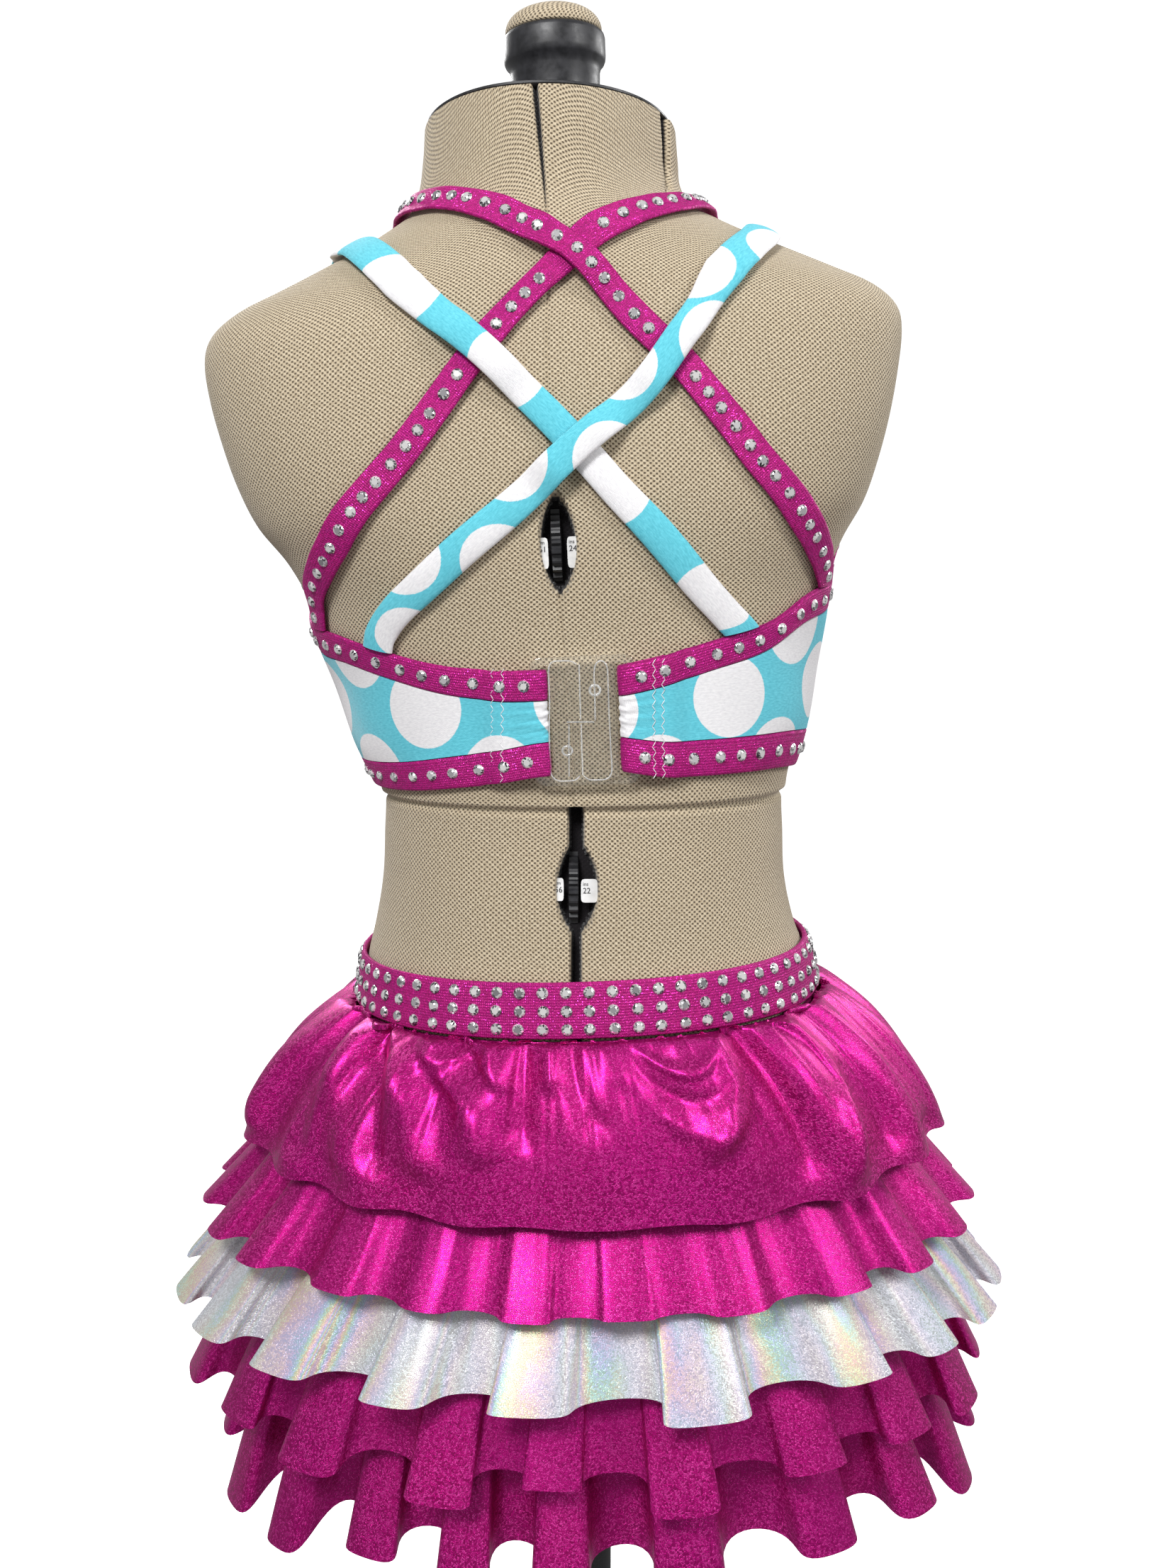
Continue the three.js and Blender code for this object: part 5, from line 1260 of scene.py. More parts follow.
# %% [markdown]
# The clasp's halves are clear mouldings whose edges are rounded by the tool that pressed them. The CAD
# solids already have their shape, so a merged copy of each gets a Bevel modifier, and the bosses and
# rails are small rods bent to the same back, in a paler, less clear finish of painted highlight.

# %% Clear clasp
def clear_copy(name, node_name):
    """A copy of a CAD solid, with its loose triangles merged, its flat faces joined and its edges
    bevelled."""
    mesh = nodes[node_name].data.copy()
    mesh.name = name
    work = bmesh.new()
    work.from_mesh(mesh)
    bmesh.ops.remove_doubles(work, verts=work.verts, dist=0.00001)
    bmesh.ops.dissolve_limit(work, angle_limit=math.radians(3), verts=work.verts, edges=work.edges)
    work.to_mesh(mesh)
    work.free()
    piece = add_object(name, mesh, clear, [node_name])
    bevel = piece.modifiers.new("rounded edges", "BEVEL")
    bevel.width = 0.0003
    bevel.segments = 2
    bevel.limit_method = "ANGLE"
    bevel.angle_limit = math.radians(40)


clear_copy("clasp_left_clear", "clasp_left")
clear_copy("clasp_right_clear", "clasp_right")
RAIL_LIFT = CLASP_FACE + 0.05


def clasp_line(name, corners, wide=0.6, tall=0.6):
    """A low rounded rail on the clasp's face along a rounded line of places given across and up the
    back, in the paler finish that is painted highlight."""
    corners = np.array(corners, float)
    run = np.append(0, np.cumsum(np.linalg.norm(np.diff(corners, axis=0), axis=1)))
    along = np.linspace(0, run[-1], 72)
    places = np.stack([np.interp(along, run, column) for column in corners.T], axis=-1)
    for _ in range(3):
        places[1:-1] = (places[:-2] + 2 * places[1:-1] + places[2:]) / 4
    ahead = unit(np.gradient(places, axis=0))
    across, through = section(2.6, 12)
    shrink = np.ones((len(along), 1))
    shrink[[0, -1]] = 0.5
    x = places[:, :1] + ahead[:, 1:] * across * wide * shrink
    z = places[:, 1:] - ahead[:, :1] * across * wide * shrink
    rings = on_back(x, z, RAIL_LIFT + tall / 2 + through * tall * shrink)
    u = np.tile(along[:, None], (1, 13))
    v = np.tile(looped(across) * wide, (len(along), 1))
    return make_piece(name, rod(rings, u, v), clear_edge_highlight)


def clasp_boss(name, x, z, radius, hole, tall):
    """A small ring standing on the clasp, in painted highlight: a rounded square section turned about the
    face's own normal.
    """
    turn = np.linspace(0, 2 * np.pi, 32, endpoint=False)[:, None]
    across, through = section(3, 12)
    middle = (radius + hole) / 2
    reach = middle + across * (radius - hole)
    lift = RAIL_LIFT + tall / 2 + through * tall
    rings = on_back(x + reach * np.cos(turn), z + reach * np.sin(turn), lift)
    u, v = np.meshgrid(np.arange(33) * 0.4, np.arange(13) * 0.3, indexing="ij")
    return make_piece(name, hoop(rings, u, v), clear_edge_highlight)


CLASP_LINES = {
    "left": [(2.9, 565.8), (4.4, 563.7), (12.6, 563.7), (14.7, 566.5), (14.3, 585), (13.5, 600),
             (13.6, 611.5), (12.2, 614.0), (4.1, 613.8), (1.9, 612.2)],
    "right": [(1.3, 565.8), (-0.1, 563.7), (-8.7, 563.7), (-10.3, 566.5), (-10.2, 590), (-10.4, 611.5),
              (-8.4, 613.8), (-6.4, 613.4), (-4.9, 610.5), (-4.8, 599), (-4.5, 588.6)],
    "middle_upper": [(1.0, 612.2), (1.4, 589.4)],
    "middle_lower": [(1.2, 587.4), (1.7, 565.8)],
    "step": [(7.2, 588.6), (-4.0, 588.1)],
    "tongue": [(6.2, 587.6), (7.3, 565.4)],
}
for part, corners in CLASP_LINES.items():
    clasp_line("clasp_line_" + part, corners)
clasp_boss("clasp_boss_upper", -4.9, 601.3, 2.6, 1.6, 0.9)
clasp_boss("clasp_boss_lower", 7.4, 576.5, 2.4, 1.5, 0.9)

# %% [markdown]
# The skirt hangs from a firm waistband. Each tier is a long straight strip, gathered along its top edge,
# so its lower edge swings in and out in pipes. Cloth simulation would give other folds than the ones in
# the photo, so each fold is listed: where its crest lies, how far it stands out and falls
# sideways.

# %% Waistband
SKIRT_TILT = 3.2
WAISTBAND_MIDDLE = 467.9
WAISTBAND_WIDTH = 23
WAISTBAND_THICK = 2.6


def tilted(z, bearing):
    """Heights lowered towards the wearer's left by up to 3.2 mm; the tilt fades out below 450 mm."""
    return z - SKIRT_TILT * np.clip((z - 350) / 100, 0, 1) * np.sin(np.radians(bearing))


def waistband():
    """The waistband's section carried round the form, with a shallow seam at the centre back."""
    bearing = np.linspace(360, 0, 360, endpoint=False)[:, None]
    across, through = section(5, 30)
    z = WAISTBAND_MIDDLE + across * WAISTBAND_WIDTH
    near_seam = np.exp(-(((bearing + 180) % 360 - 180 + 2.9) / 0.5) ** 2)
    swell = 0.12 * np.sin(np.radians(bearing * 19)) * np.sin(np.radians(bearing * 7 + 40))
    lift = BODY_GAP + WAISTBAND_THICK / 2 + through * WAISTBAND_THICK
    rings = on_form(bearing, tilted(z, bearing), lift + (through > 0) * (swell - 0.7 * near_seam))
    u = lengths(np.concatenate([rings, rings[:1]]), 0)[:, :1] + np.zeros((1, 31))
    v = np.tile(looped(across) * WAISTBAND_WIDTH, (len(u), 1))
    piece = make_piece("waist_band", hoop(rings, u, v), binding, ["waistband"])


waistband()

# %% Tier rings and folds
# Columns: step down the tier, height, half width, depth behind, depth before, fold share, lift at the
# sides, squareness, shift to the wearer's left
BASE_RINGS = np.array([
    [0, 455.4, 107.6, 91.1, 93.1, 0, 0, 2.2, 0],
    [1, 420, 113, 98, 98, 0, 0, 2.2, 0],
    [2, 360, 120, 102.5, 102.5, 0, 0, 2.15, 0],
    [3, 302, 123, 104.5, 104.5, 0, 0, 2.1, 0],
])
TIER_RINGS = [
    np.array([
        [0, 455.9, 109.3, 92.9, 94.9, 0.12, 0, 2.2, 0],
        [1, 453, 114, 98, 100, 0.45, 3, 2.2, 0],
        [2, 436, 135, 109, 110, 0.9, 2, 2.15, -1],
        [3, 413, 154, 117, 118, 0.8, 1, 2.1, -2],
        [4, 387, 164, 123, 123, 0.5, 9, 2.05, -2.5],
    ]),
    np.array([
        [0, 424, 113.4, 98.7, 98.7, 0.1, 0, 2.2, 0],
        [1, 418, 132, 105, 106, 0.5, 0, 2.15, 0],
        [2, 390, 151, 111.5, 112, 0.6, 0, 2.1, 0],
        [3, 353.5, 178, 132, 132, 1, 5, 2.05, 0],
    ]),
    np.array([
        [0, 388, 117.8, 102, 102, 0.05, 0, 2.18, 0],
        [1, 380, 140, 107, 107, 0.3, 0, 2.1, 0],
        [2, 354, 162, 118, 118, 0.6, 0, 2.05, 0],
        [3, 320, 189, 137, 137, 1, 1, 2, 0],
    ]),
    np.array([
        [0, 352, 121.4, 104.3, 104.3, 0.03, 0, 2.15, 0],
        [1, 344, 145, 111, 111, 0.3, 0, 2.1, 0],
        [2, 320, 164, 120, 120, 0.5, 0, 2.05, 0],
        [3, 286, 181, 133, 133, 1, -4, 2, 0],
    ]),
    np.array([
        [0, 318, 123.3, 105.4, 105.4, 0.02, 0, 2.12, 0],
        [1, 310, 140, 110, 110, 0.25, 0, 2.05, 0],
        [2, 286, 159, 115, 115, 0.5, 0, 2, -2],
        [3, 246, 171, 128, 127, 1, 2, 2, -4],
    ]),
]
# Columns: bearing of the crest, stand out, drop of the hem, roundness to the sides, fall aside, flatness
TIER_FOLDS = [
    np.array([
        [-170, 3, 1, 0, 0, 2], [-146, 4, 1, 0, 1, 2], [-121, 5, 2, 0, -1, 2], [-100, 5, 1, 1, 0, 2],
        [-80, 6, 2, 1, 2, 2], [-61, 6, 2, 1, -2, 2], [-42, 5, 3, 1, 2, 2], [-21, 3, 1, 0, 0, 2],
        [0, 2, 0, 0, 0, 2], [19, 3, 1, 0, 0, 2], [37, 4, 2, 0, 0, 2], [54, 5, 2, 1, -1, 2],
        [73, 6, 1, 1, 2, 2], [94, 5, 1, 1, 0, 2], [116, 4, 2, 0, 0, 2], [141, 4, 1, 0, 1, 2],
        [166, 3, 1, 0, 0, 2],
    ]),
    np.array([
        [-172, 4, 1, 1, 0, 4], [-153, 5, 1, 2, 0, 5], [-135, 6, 1, 2, 2, 3], [-119, 6, 2, 1, 0, 4],
        [-101, 6, 1, 1, 2, 3], [-84, 7, 1, 1, 0, 4], [-66, 6, 2, 1, -2, 3], [-50, 7, 2, 2, -2, 4],
        [-36, 5, 1, 3, -3, 3], [-20, 3, 1, 1, 0, 5], [-5, 2, 0, 2, 0, 4], [8, 3, 1, 2, 0, 5],
        [22, 4, 0, 1, 0, 3], [36, 3, 1, 1, 0, 5], [51, 8, 1, 2, 4, 3], [65, 7, 2, 2, 2, 3],
        [82, 6, 1, 1, 0, 4], [99, 6, 1, 1, 0, 3], [117, 6, 2, 2, 0, 5], [134, 5, 1, 1, 0, 3],
        [151, 5, 1, 1, 0, 4], [169, 4, 0, 1, 0, 3],
    ]),
    np.array([
        [-170, 7, 2, 4, -2, 3], [-151, 9, 3, 4, 2, 3], [-134, 8, 3, 4, 4, 4], [-116, 10, 3, 4, 0, 3],
        [-99, 8, 2, 4, -3, 4], [-81, 10, 3, 4, -2, 3], [-64, 9, 4, 4, -4, 4], [-49, 8, 3, 3, -4, 3],
        [-35, 6, 3, 3, -4, 3], [-15, 9, 6, 5, 1, 5], [5.5, 7, 2, 4, 4, 3], [21, 9, 3, 3, 5, 4],
        [39, 9, 3, 4, 5, 4], [56, 10, 3, 4, 4, 3], [74, 9, 3, 4, 1, 3], [92, 8, 2, 4, 2, 4],
        [110, 10, 3, 4, -2, 3], [127, 9, 3, 4, 3, 4], [147, 7, 2, 4, 3, 3], [168, 9, 3, 4, 0, 4],
    ]),
    np.array([
        [-168, 9, 3, 5, 0, 3], [-147, 12, 7, 5, 2, 4], [-128, 9, 4, 5, 3, 3], [-107, 12, 8, 5, -2, 4],
        [-86, 9, 3, 5, 2, 3], [-66, 12, 6, 5, 2, 4], [-47, 10, 2, 5, -2, 3], [-29.5, 9, 3, 5, -3, 3],
        [-11, 11, 12, 5, -2, 5], [4, 6, 2, 4, 2, 3], [17.5, 11, 10, 5, 2, 5], [38, 12, 8, 5, 3, 4],
        [56, 9, 3, 5, 0, 3], [76, 12, 6, 5, 2, 4], [97, 9, 4, 5, 0, 3], [117, 12, 8, 5, 3, 4],
        [138, 9, 3, 5, 0, 3], [164, 11, 6, 5, 2, 4],
    ]),
    np.array([
        [-173, 12, 3, 5, 0, 4], [-155, 15, 6, 5, 0, 6], [-138, 12, 4, 5, 2, 3], [-121, 15, 9, 5, 0, 5],
        [-104, 15, 3, 5, 0, 4], [-87, 15, 8, 5, 0, 3], [-69, 15, 17, 5, 0, 3], [-51, 14, 5, 5, -2, 3],
        [-34.5, 9, 7, 4, -1, 3], [-12.5, 15, 18, 5, 1, 5], [5, 10, 3, 4, 1, 3], [18, 15, 14, 5, 0, 5],
        [32.5, 10, 7, 5, 1, 3], [48, 14, 19, 3, 3, 5], [64, 15, 18, 5, 0, 4], [82, 11, 5, 5, 0, 3],
        [99, 15, 9, 5, 0, 5], [116, 12, 3, 5, 2, 3], [133, 15, 8, 5, 0, 6], [151, 12, 4, 5, 0, 3],
        [169, 14, 6, 5, 0, 3],
    ]),
]
# How much deeper, rounder and more leaning the folds are than in the CAD part, tier by tier
DEEPER = [1.0, 0.9, 0.8, 0.75, 0.95]
ROUNDER = [1.0, 1.2, 1.4, 1.15, 1.1]
LEANING = [1.0, 1.5, 2.6, 1.8, 1.6]


def fold_waves(folds, count):
    """For columns evenly shared between the crests: bearing, wave, depth, hem drop, shift and fall. The
    wave is one less twice the sine of half the phase to a power that grows with the fold's flatness, so
    it is 1 on a crest and -1 between two. The shift is the roundness times the sine of twice the phase;
    drop and fall are full on a crest."""
    place = np.arange(count) / count * len(folds)
    index = place.astype(int)
    share = place - index
    folds = folds.astype(float)
    here, after = folds[index], folds[(index + 1) % len(folds)]
    after[:, 0] += 360 * (index + 1 == len(folds))
    blended = here + (after - here) * smooth(share)[:, None]
    phase = 2 * np.pi * share
    wave = 1 - 2 * np.abs(np.sin(phase / 2)) ** (1.2 + 0.4 * blended[:, 5])
    at = here[:, 0] + (after[:, 0] - here[:, 0]) * share
    shift = blended[:, 3] * np.sin(2 * phase)
    drop = blended[:, 2] * (1 + wave) / 2
    fall = blended[:, 4] * (1 + wave) / 2
    return [values[::-1] for values in (at, wave, blended[:, 1], drop, shift, fall)]


def tier_surface(number, rows, count):
    """The outer grid of a tier from hem to seam. Each row is a ring read between the tier's own rings and
    pushed in and out along its normal by the folds, which grow towards the hem; the crests keep the place
    they have in the CAD part. Small gathers near the seam are sines of uneven length that die out down
    the cloth."""
    at, wave, depth, drop, shift, fall = fold_waves(TIER_FOLDS[number], count)
    deeper, rounder, leaning = DEEPER[number], ROUNDER[number], LEANING[number]
    rings = TIER_RINGS[number]
    down = np.linspace(1, 0, rows)
    ring = read_table(rings, down * (len(rings) - 1))[:, None, 1:]
    height, fold, rise = ring[..., 0], ring[..., 4], ring[..., 5]
    shape = np.concatenate([ring[..., 1:4], ring[..., 6:8]], axis=-1)
    at = np.broadcast_to(at, (rows, count))
    seam_z, hem_z = rings[0, 1], rings[-1, 1]
    hang = np.clip((seam_z - height) / (seam_z - hem_z), 0, 1) ** 2
    z = tilted(height, at) + rise * np.sin(np.radians(at)) ** 2 - drop * hang
    point = ring_point(shape, at, z)
    tangent = unit(ring_point(shape, at + 0.5, z) - ring_point(shape, at - 0.5, z))
    outward = np.stack([-tangent[..., 1], tangent[..., 0], 0 * z], axis=-1)
    grown = 1 + (deeper - 1) * smooth((down[:, None] - 0.3) / 0.6)
    out = depth * (grown * wave - grown + 1) * fold
    gathers = np.sin(at + 1.7 * np.sin(at * 0.31)) + 0.6 * np.sin(at * 1.6 + 2.1 * np.sin(at * 0.17))
    out = out + 1.5 * gathers * smooth(down[:, None] / 0.06) * np.exp(-down[:, None] / 0.17)
    aside = (rounder * shift + leaning * fall) * fold
    point = point + outward * out[..., None] + tangent * aside[..., None]
    return point, outward, at, np.broadcast_to(down[:, None], at.shape)


def ridge(at, down, path, width, out):
    """A soft ridge, or a groove if out is negative: the bell curve of how far a bearing lies from a line
    that is read from rows of share down the cloth and bearing, fading in and out within a tenth of its
    ends."""
    line = read_table(np.array(path, float), down)[..., 1]
    ends = smooth((down - path[0][0]) / 0.1) * smooth((path[-1][0] - down) / 0.12)
    return out * np.exp(-((at - line) / width) ** 2) * ends


def swag(at, down, middle, half, top, sag, width, out):
    """A drape line that hangs like a bowl between two pinned places: a bell curve about a parabola."""
    share = (at - middle) / half
    line = top + sag * (1 - share**2)
    return out * np.exp(-((down - line) / width) ** 2) * smooth(1.6 - 1.5 * np.abs(share))


print("folds by tier:", [len(folds) for folds in TIER_FOLDS])

# %% The top tier's own creases
# Rows of share down the cloth and bearing, then the width in degrees and how far the line stands out
TOP_CREASES = [
    ([(0.04, 53), (0.4, 38), (0.6, 31), (0.9, 26)], 3.2, 5.5),
    ([(0.06, 47), (0.34, 49), (0.55, 40), (0.9, 34)], 2.6, -6.0),
    ([(0.2, 57), (0.46, 52), (0.7, 45), (0.95, 41)], 3.4, 4.5),
    ([(0.1, 66), (0.42, 62), (0.62, 57), (0.95, 52)], 3.4, -5.5),
    ([(0.1, 80), (0.58, 75), (0.8, 72), (0.98, 68)], 4.0, 5.0),
    ([(0.1, 92), (0.5, 88), (0.9, 82)], 4.0, -4.0),
    ([(0.03, 37), (0.4, 29), (0.54, 21), (0.8, 16)], 2.8, 4.0),
    ([(0.03, 31), (0.3, 25), (0.5, 17)], 2.0, -3.5),
    ([(0.02, 23), (0.34, 19), (0.5, 15)], 2.0, 3.0),
    ([(0.02, 15), (0.4, 13), (0.75, 11)], 2.2, -3.8),
    ([(0.02, 9), (0.3, 8), (0.5, 7)], 1.8, 3.6),
    ([(0.02, 4.5), (0.35, 3), (0.7, -2)], 2.2, -3.0),
    ([(0.02, -4), (0.3, -5), (0.5, -8)], 2.5, 1.8),
    ([(0.03, -27), (0.36, -27), (0.54, -24), (0.8, -17)], 2.6, 4.5),
    ([(0.03, -31), (0.36, -34), (0.6, -36), (0.95, -36)], 3.0, -5.0),
    ([(0.04, -43), (0.3, -48), (0.5, -49.5), (0.7, -45.5), (0.99, -42)], 2.6, 6.0),
    ([(0.1, -55), (0.4, -58), (0.7, -57), (0.97, -54)], 3.4, -4.5),
    ([(0.06, -70), (0.4, -72), (0.7, -72), (0.97, -70)], 4.0, 4.5),
    ([(0.1, -84), (0.5, -88), (0.9, -86)], 4.0, -4.0),
    ([(0.04, 110), (0.5, 116), (0.9, 120)], 3.6, 4.0),
    ([(0.04, 132), (0.5, 128), (0.9, 130)], 3.0, -4.0),
    ([(0.03, 146), (0.5, 150), (0.9, 155)], 3.0, 4.5),
    ([(0.03, 172), (0.5, 168), (0.9, 166)], 3.0, -3.5),
    ([(0.03, -176), (0.5, -172), (0.9, -168)], 3.0, 4.0),
    ([(0.03, -150), (0.5, -154), (0.9, -156)], 3.0, -4.0),
    ([(0.03, -130), (0.5, -126), (0.9, -122)], 3.4, 4.5),
    ([(0.03, -112), (0.5, -108), (0.9, -106)], 3.4, -3.6),
]
TOP_SWAGS = [
    (-18.5, 9.5, 0.22, 0.17, 0.035, 3.2),
    (-18.5, 10.5, 0.33, 0.2, 0.04, -2.6),
    (-19, 11.5, 0.46, 0.2, 0.045, 2.4),
    (30, 8, 0.2, 0.14, 0.035, 2.0),
    (159, 11, 0.22, 0.17, 0.04, 3.0),
    (-163, 10, 0.28, 0.16, 0.04, 2.6),
]
TIER_THICK = 1.1
TIER_GAP = 1.6
REACH_FLOOR = 200
REACH_STEP = 2
reach_above = np.full((360, 160), 999.0)


def reach_cell(point):
    """The cell of the reach map that a point lies in: its bearing in degrees and its height in steps of 2
    mm."""
    bearing = np.degrees(np.arctan2(point[..., 0], point[..., 1])) % 360
    return bearing.astype(int) % 360, ((point[..., 2] - REACH_FLOOR) / REACH_STEP).astype(int)


def inner_reach(point):
    """How far a tier reaches in, as a map: the least distance of its points from the upright axis in each
    cell and the cells round it."""
    reach = np.full_like(reach_above, 999.0)
    np.minimum.at(reach, reach_cell(point), np.hypot(point[..., 0], point[..., 1]))
    for axis in (0, 1):
        reach = np.min([np.roll(reach, step, axis) for step in (-1, 0, 1)], axis=0)
    return reach


def held_under(point):
    """A tier's points drawn towards the upright axis, so that they stay a gap inside the tiers above."""
    radius = np.hypot(point[..., 0], point[..., 1])
    share = np.minimum(radius, reach_above[reach_cell(point)] - TIER_GAP) / radius
    return point * np.stack([share, share, np.ones_like(share)], axis=-1)


def tier_piece(number, rows, count, finish, slot_name):
    """One tier as a closed wall. Its cloth places come from the length of its hem and its mean drop."""
    point, outward, at, down = tier_surface(number, rows, count)
    extra = np.zeros(at.shape)
    if number == 0:
        round_at = (at + 180) % 360 - 180
        for path, width, out in TOP_CREASES:
            extra += ridge(round_at, down, path, width, out)
        for settings in TOP_SWAGS:
            extra += swag(round_at, down, *settings)
        extra *= 1 - 0.55 * smooth((down - 0.72) / 0.28)
    pucker = 0.25 * np.sin(at * 2.3 + 9 * down + 2 * np.sin(at * 0.9)) * np.sin(np.pi * down)
    point = point + outward * (extra + pucker)[..., None]
    point = held_under(point)
    inner = pushed_in(point, TIER_THICK, True)
    reach_above[:] = np.minimum(reach_above, inner_reach(inner))
    around = lengths(closed_round(point), 1)
    hem = around[0]
    u = np.tile(hem, (rows, 1))
    drop = lengths(point, 0).mean(axis=1)
    v = np.tile(drop[:, None], (1, count + 1))
    piece = make_piece("ruffle_" + str(number + 1), wall(point, inner, u, v, True), finish,
                       ["tier_" + str(number + 1)], sharp=70)
    print("  hem", round(float(hem[-1])), "mm, drop", round(float(drop[-1])), "mm")


def base_skirt():
    """The plain skirt under the tiers: a smooth wall 1 mm thick."""
    down = np.linspace(1, 0, 16)
    ring = read_table(BASE_RINGS, down * 3)[:, None, 1:]
    at = np.broadcast_to(np.linspace(360, 0, 240, endpoint=False), (16, 240))
    z = tilted(ring[..., 0], at)
    shape = np.concatenate([ring[..., 1:4], ring[..., 6:8]], axis=-1)
    outer = ring_point(shape, at, z)
    inner = ring_point(shape - np.array([1, 1, 1, 0, 0]), at, z)
    u = lengths(closed_round(outer), 1)
    v = np.tile(lengths(outer, 0).mean(axis=1)[:, None], (1, 241))
    piece = make_piece("base_skirt", wall(outer, inner, u, v, True), foil, ["skirt_base"],
                       sharp=70)


base_skirt()
TIER_CELLS = [(56, 700), (34, 660), (34, 700), (32, 660), (36, 700)]
WHITE_TIER = 2
for number, (rows, count) in enumerate(TIER_CELLS):
    cloth = (holographic, "holographic_foil") if number == WHITE_TIER else (foil, "magenta_foil")
    tier_piece(number, rows, count, *cloth)

# %% [markdown]
# Almost four hundred stones, each about 5 mm across, are glued in rows. One faceted stone is a few dozen
# faces; numpy copies it to every place at once, turned to the cloth under it, and each facet gets its own
# painted reflection, between dark and bright. They are joined in one mesh for each part that they sit on.

# %% A faceted stone and its rows
STONE_RADIUS = 2.55
STONE_TALL = 1.45
SET_IN = 0.15
WING_SPACING = 11.6
FRONT_SPACING = 12.2
HALTER_SPACING = 8.9
WAIST_SPACING = 9.95


def copied(points, groups):
    """Points, faces and empty cloth places of a shape that is repeated: points[copy][corner]."""
    base = (np.arange(len(points)) * points.shape[1])[:, None, None]
    faces = [(group[None] + base).reshape(-1, group.shape[1]) for group in groups]
    return points.reshape(-1, 3), faces, [np.zeros(group.shape + (2,)) for group in faces]


def joined(sets):
    """The first, second and third arrays of all the sets, each joined end to end."""
    return [np.concatenate(parts) for parts in zip(*sets)]


def stone_template():
    """A flat-backed round stone: a girdle of twelve corners, a crown ring turned half a step, and a
    table."""
    turn = np.arange(12) * math.pi / 6
    half_turn = turn + math.pi / 12
    rings = [
        (STONE_RADIUS, 0.0, turn),
        (STONE_RADIUS, 0.4, turn),
        (STONE_RADIUS * 0.8, 0.72 * STONE_TALL, half_turn),
        (STONE_RADIUS * 0.52, STONE_TALL, turn),
    ]
    points = np.concatenate([
        np.column_stack([r * np.cos(a), r * np.sin(a), np.full(12, h)]) for r, h, a in rings
    ])
    i = np.arange(12)
    j = (i + 1) % 12
    sides = np.stack([i, j, 12 + j, 12 + i], 1)
    lower = np.stack([12 + i, 12 + j, 24 + i], 1)
    kites = np.stack([24 + (i - 1) % 12, 12 + i, 24 + i, 36 + i], 1)
    upper = np.stack([24 + i, 36 + j, 36 + i], 1)
    ends = np.stack([np.arange(12)[::-1], 36 + np.arange(12)])
    return points, [sides, lower, kites, upper, ends]


def stone_rows(name, spots, normals, arounds):
    """Copies of the stone at every spot, its own upright axis along the cloth's normal."""
    template, groups = stone_template()
    spots, normals = np.asarray(spots), unit(np.asarray(normals))
    arounds = unit(np.cross(np.cross(normals, np.asarray(arounds)), normals))
    beside = np.cross(normals, arounds)
    spin = np.sin(np.arange(len(spots)) * 12.9898) * 3
    cos, sin = np.cos(spin)[:, None], np.sin(spin)[:, None]
    first, second = arounds * cos + beside * sin, beside * cos - arounds * sin
    tilt = unit(normals + 0.08 * np.sin(np.arange(len(spots)) * 7.13)[:, None] * first)
    flat = template[None, :, :1] * first[:, None] + template[None, :, 1:2] * second[:, None]
    points = spots[:, None] + flat + template[None, :, 2:] * tilt[:, None]
    piece = make_piece(name, copied(points, groups), stone, sharp=5)
    mesh = piece.data
    total = len(mesh.polygons)
    # Painted reflection: each face gets a random shade from dark to bright, the tables brighter.
    shade = np.abs(np.sin(np.arange(total) * 78.233 + 1.3) * 43758.5453) % 1.0
    table_start = total - 2 * len(spots)
    shade[table_start:] = 0.3 + 0.7 * shade[table_start:]
    layer = mesh.attributes.new("facet_reflection", "FLOAT", "FACE")
    layer.data.foreach_set("value", shade.astype(np.float32))


def read_line(spots, run, steps):
    """Bearing, height and lift at running lengths along a line."""
    return np.stack([np.interp(steps, run, column) for column in spots.T])


def along_line(spots, spacing, first):
    """Places at an uneven spacing along a line of bearing, height and lift, with the normal and the way
    round."""
    run = lengths(on_form(*spots.T), 0)
    steps = np.arange(first, run[-1] - spacing * 0.35, spacing)
    steps = steps + 0.08 * spacing * np.sin(np.arange(len(steps)) * 4.7)
    at, z, lift = read_line(spots, run, steps)
    return on_form(at, z, lift), *form_frame(at, z)[1:3]


def wing_lift(x):
    """The lift of a binding's outer face across the back: high on the clasp's bar, falling to the open
    band."""
    middle = [OVER_LIFT, OVER_LIFT, OVER_LIFT - 1.2, BAND_LIFT + BINDING + 0.7, BAND_LIFT + 0.2]
    return np.interp(np.abs(x), [TURN_X, 23, 29, 35, 42], middle) + BINDING / 2 - SET_IN


def wing_line(side, table, column, inward, x, far, sunk_near=0.0, sunk_far=0.0):
    """A line of bearing, height and lift on a wing's binding, from places near the clasp to open
    cloth."""
    x = side * x
    guess = np.abs(bearing_at(x, np.full(len(x), MIDDLE_Z)))
    z_near = read_table(table, guess)[:, column] + inward
    near = np.column_stack([bearing_at(x, z_near), z_near, wing_lift(x) - sunk_near])
    z_far = read_table(table, far)[:, column] + inward
    rest = np.column_stack([side * far, z_far, np.full(len(far), OUTER_LIFT - SET_IN - sunk_far)])
    return np.concatenate([near, rest])


stone_sets = []
for side, table in ((1, LEFT_WING_EDGES), (-1, RIGHT_WING_EDGES)):
    for column, inward in ((2, -UPPER_BINDING / 2), (1, LOWER_BINDING / 2)):
        line = wing_line(side, table, column, inward, np.linspace(22.5, 44, 40), np.linspace(27.5, 89, 80))
        stone_sets.append(along_line(line, WING_SPACING, 1.0))
bearing_line = np.linspace(268, 92, 200)
for place_at in (upper_place, lower_place):
    line = np.column_stack([*place_at(bearing_line, 0.5), np.full(200, OUTER_LIFT - SET_IN)])
    stone_sets.append(along_line(line, FRONT_SPACING, 3.0))
stone_rows("stones_bindings", *joined(stone_sets))

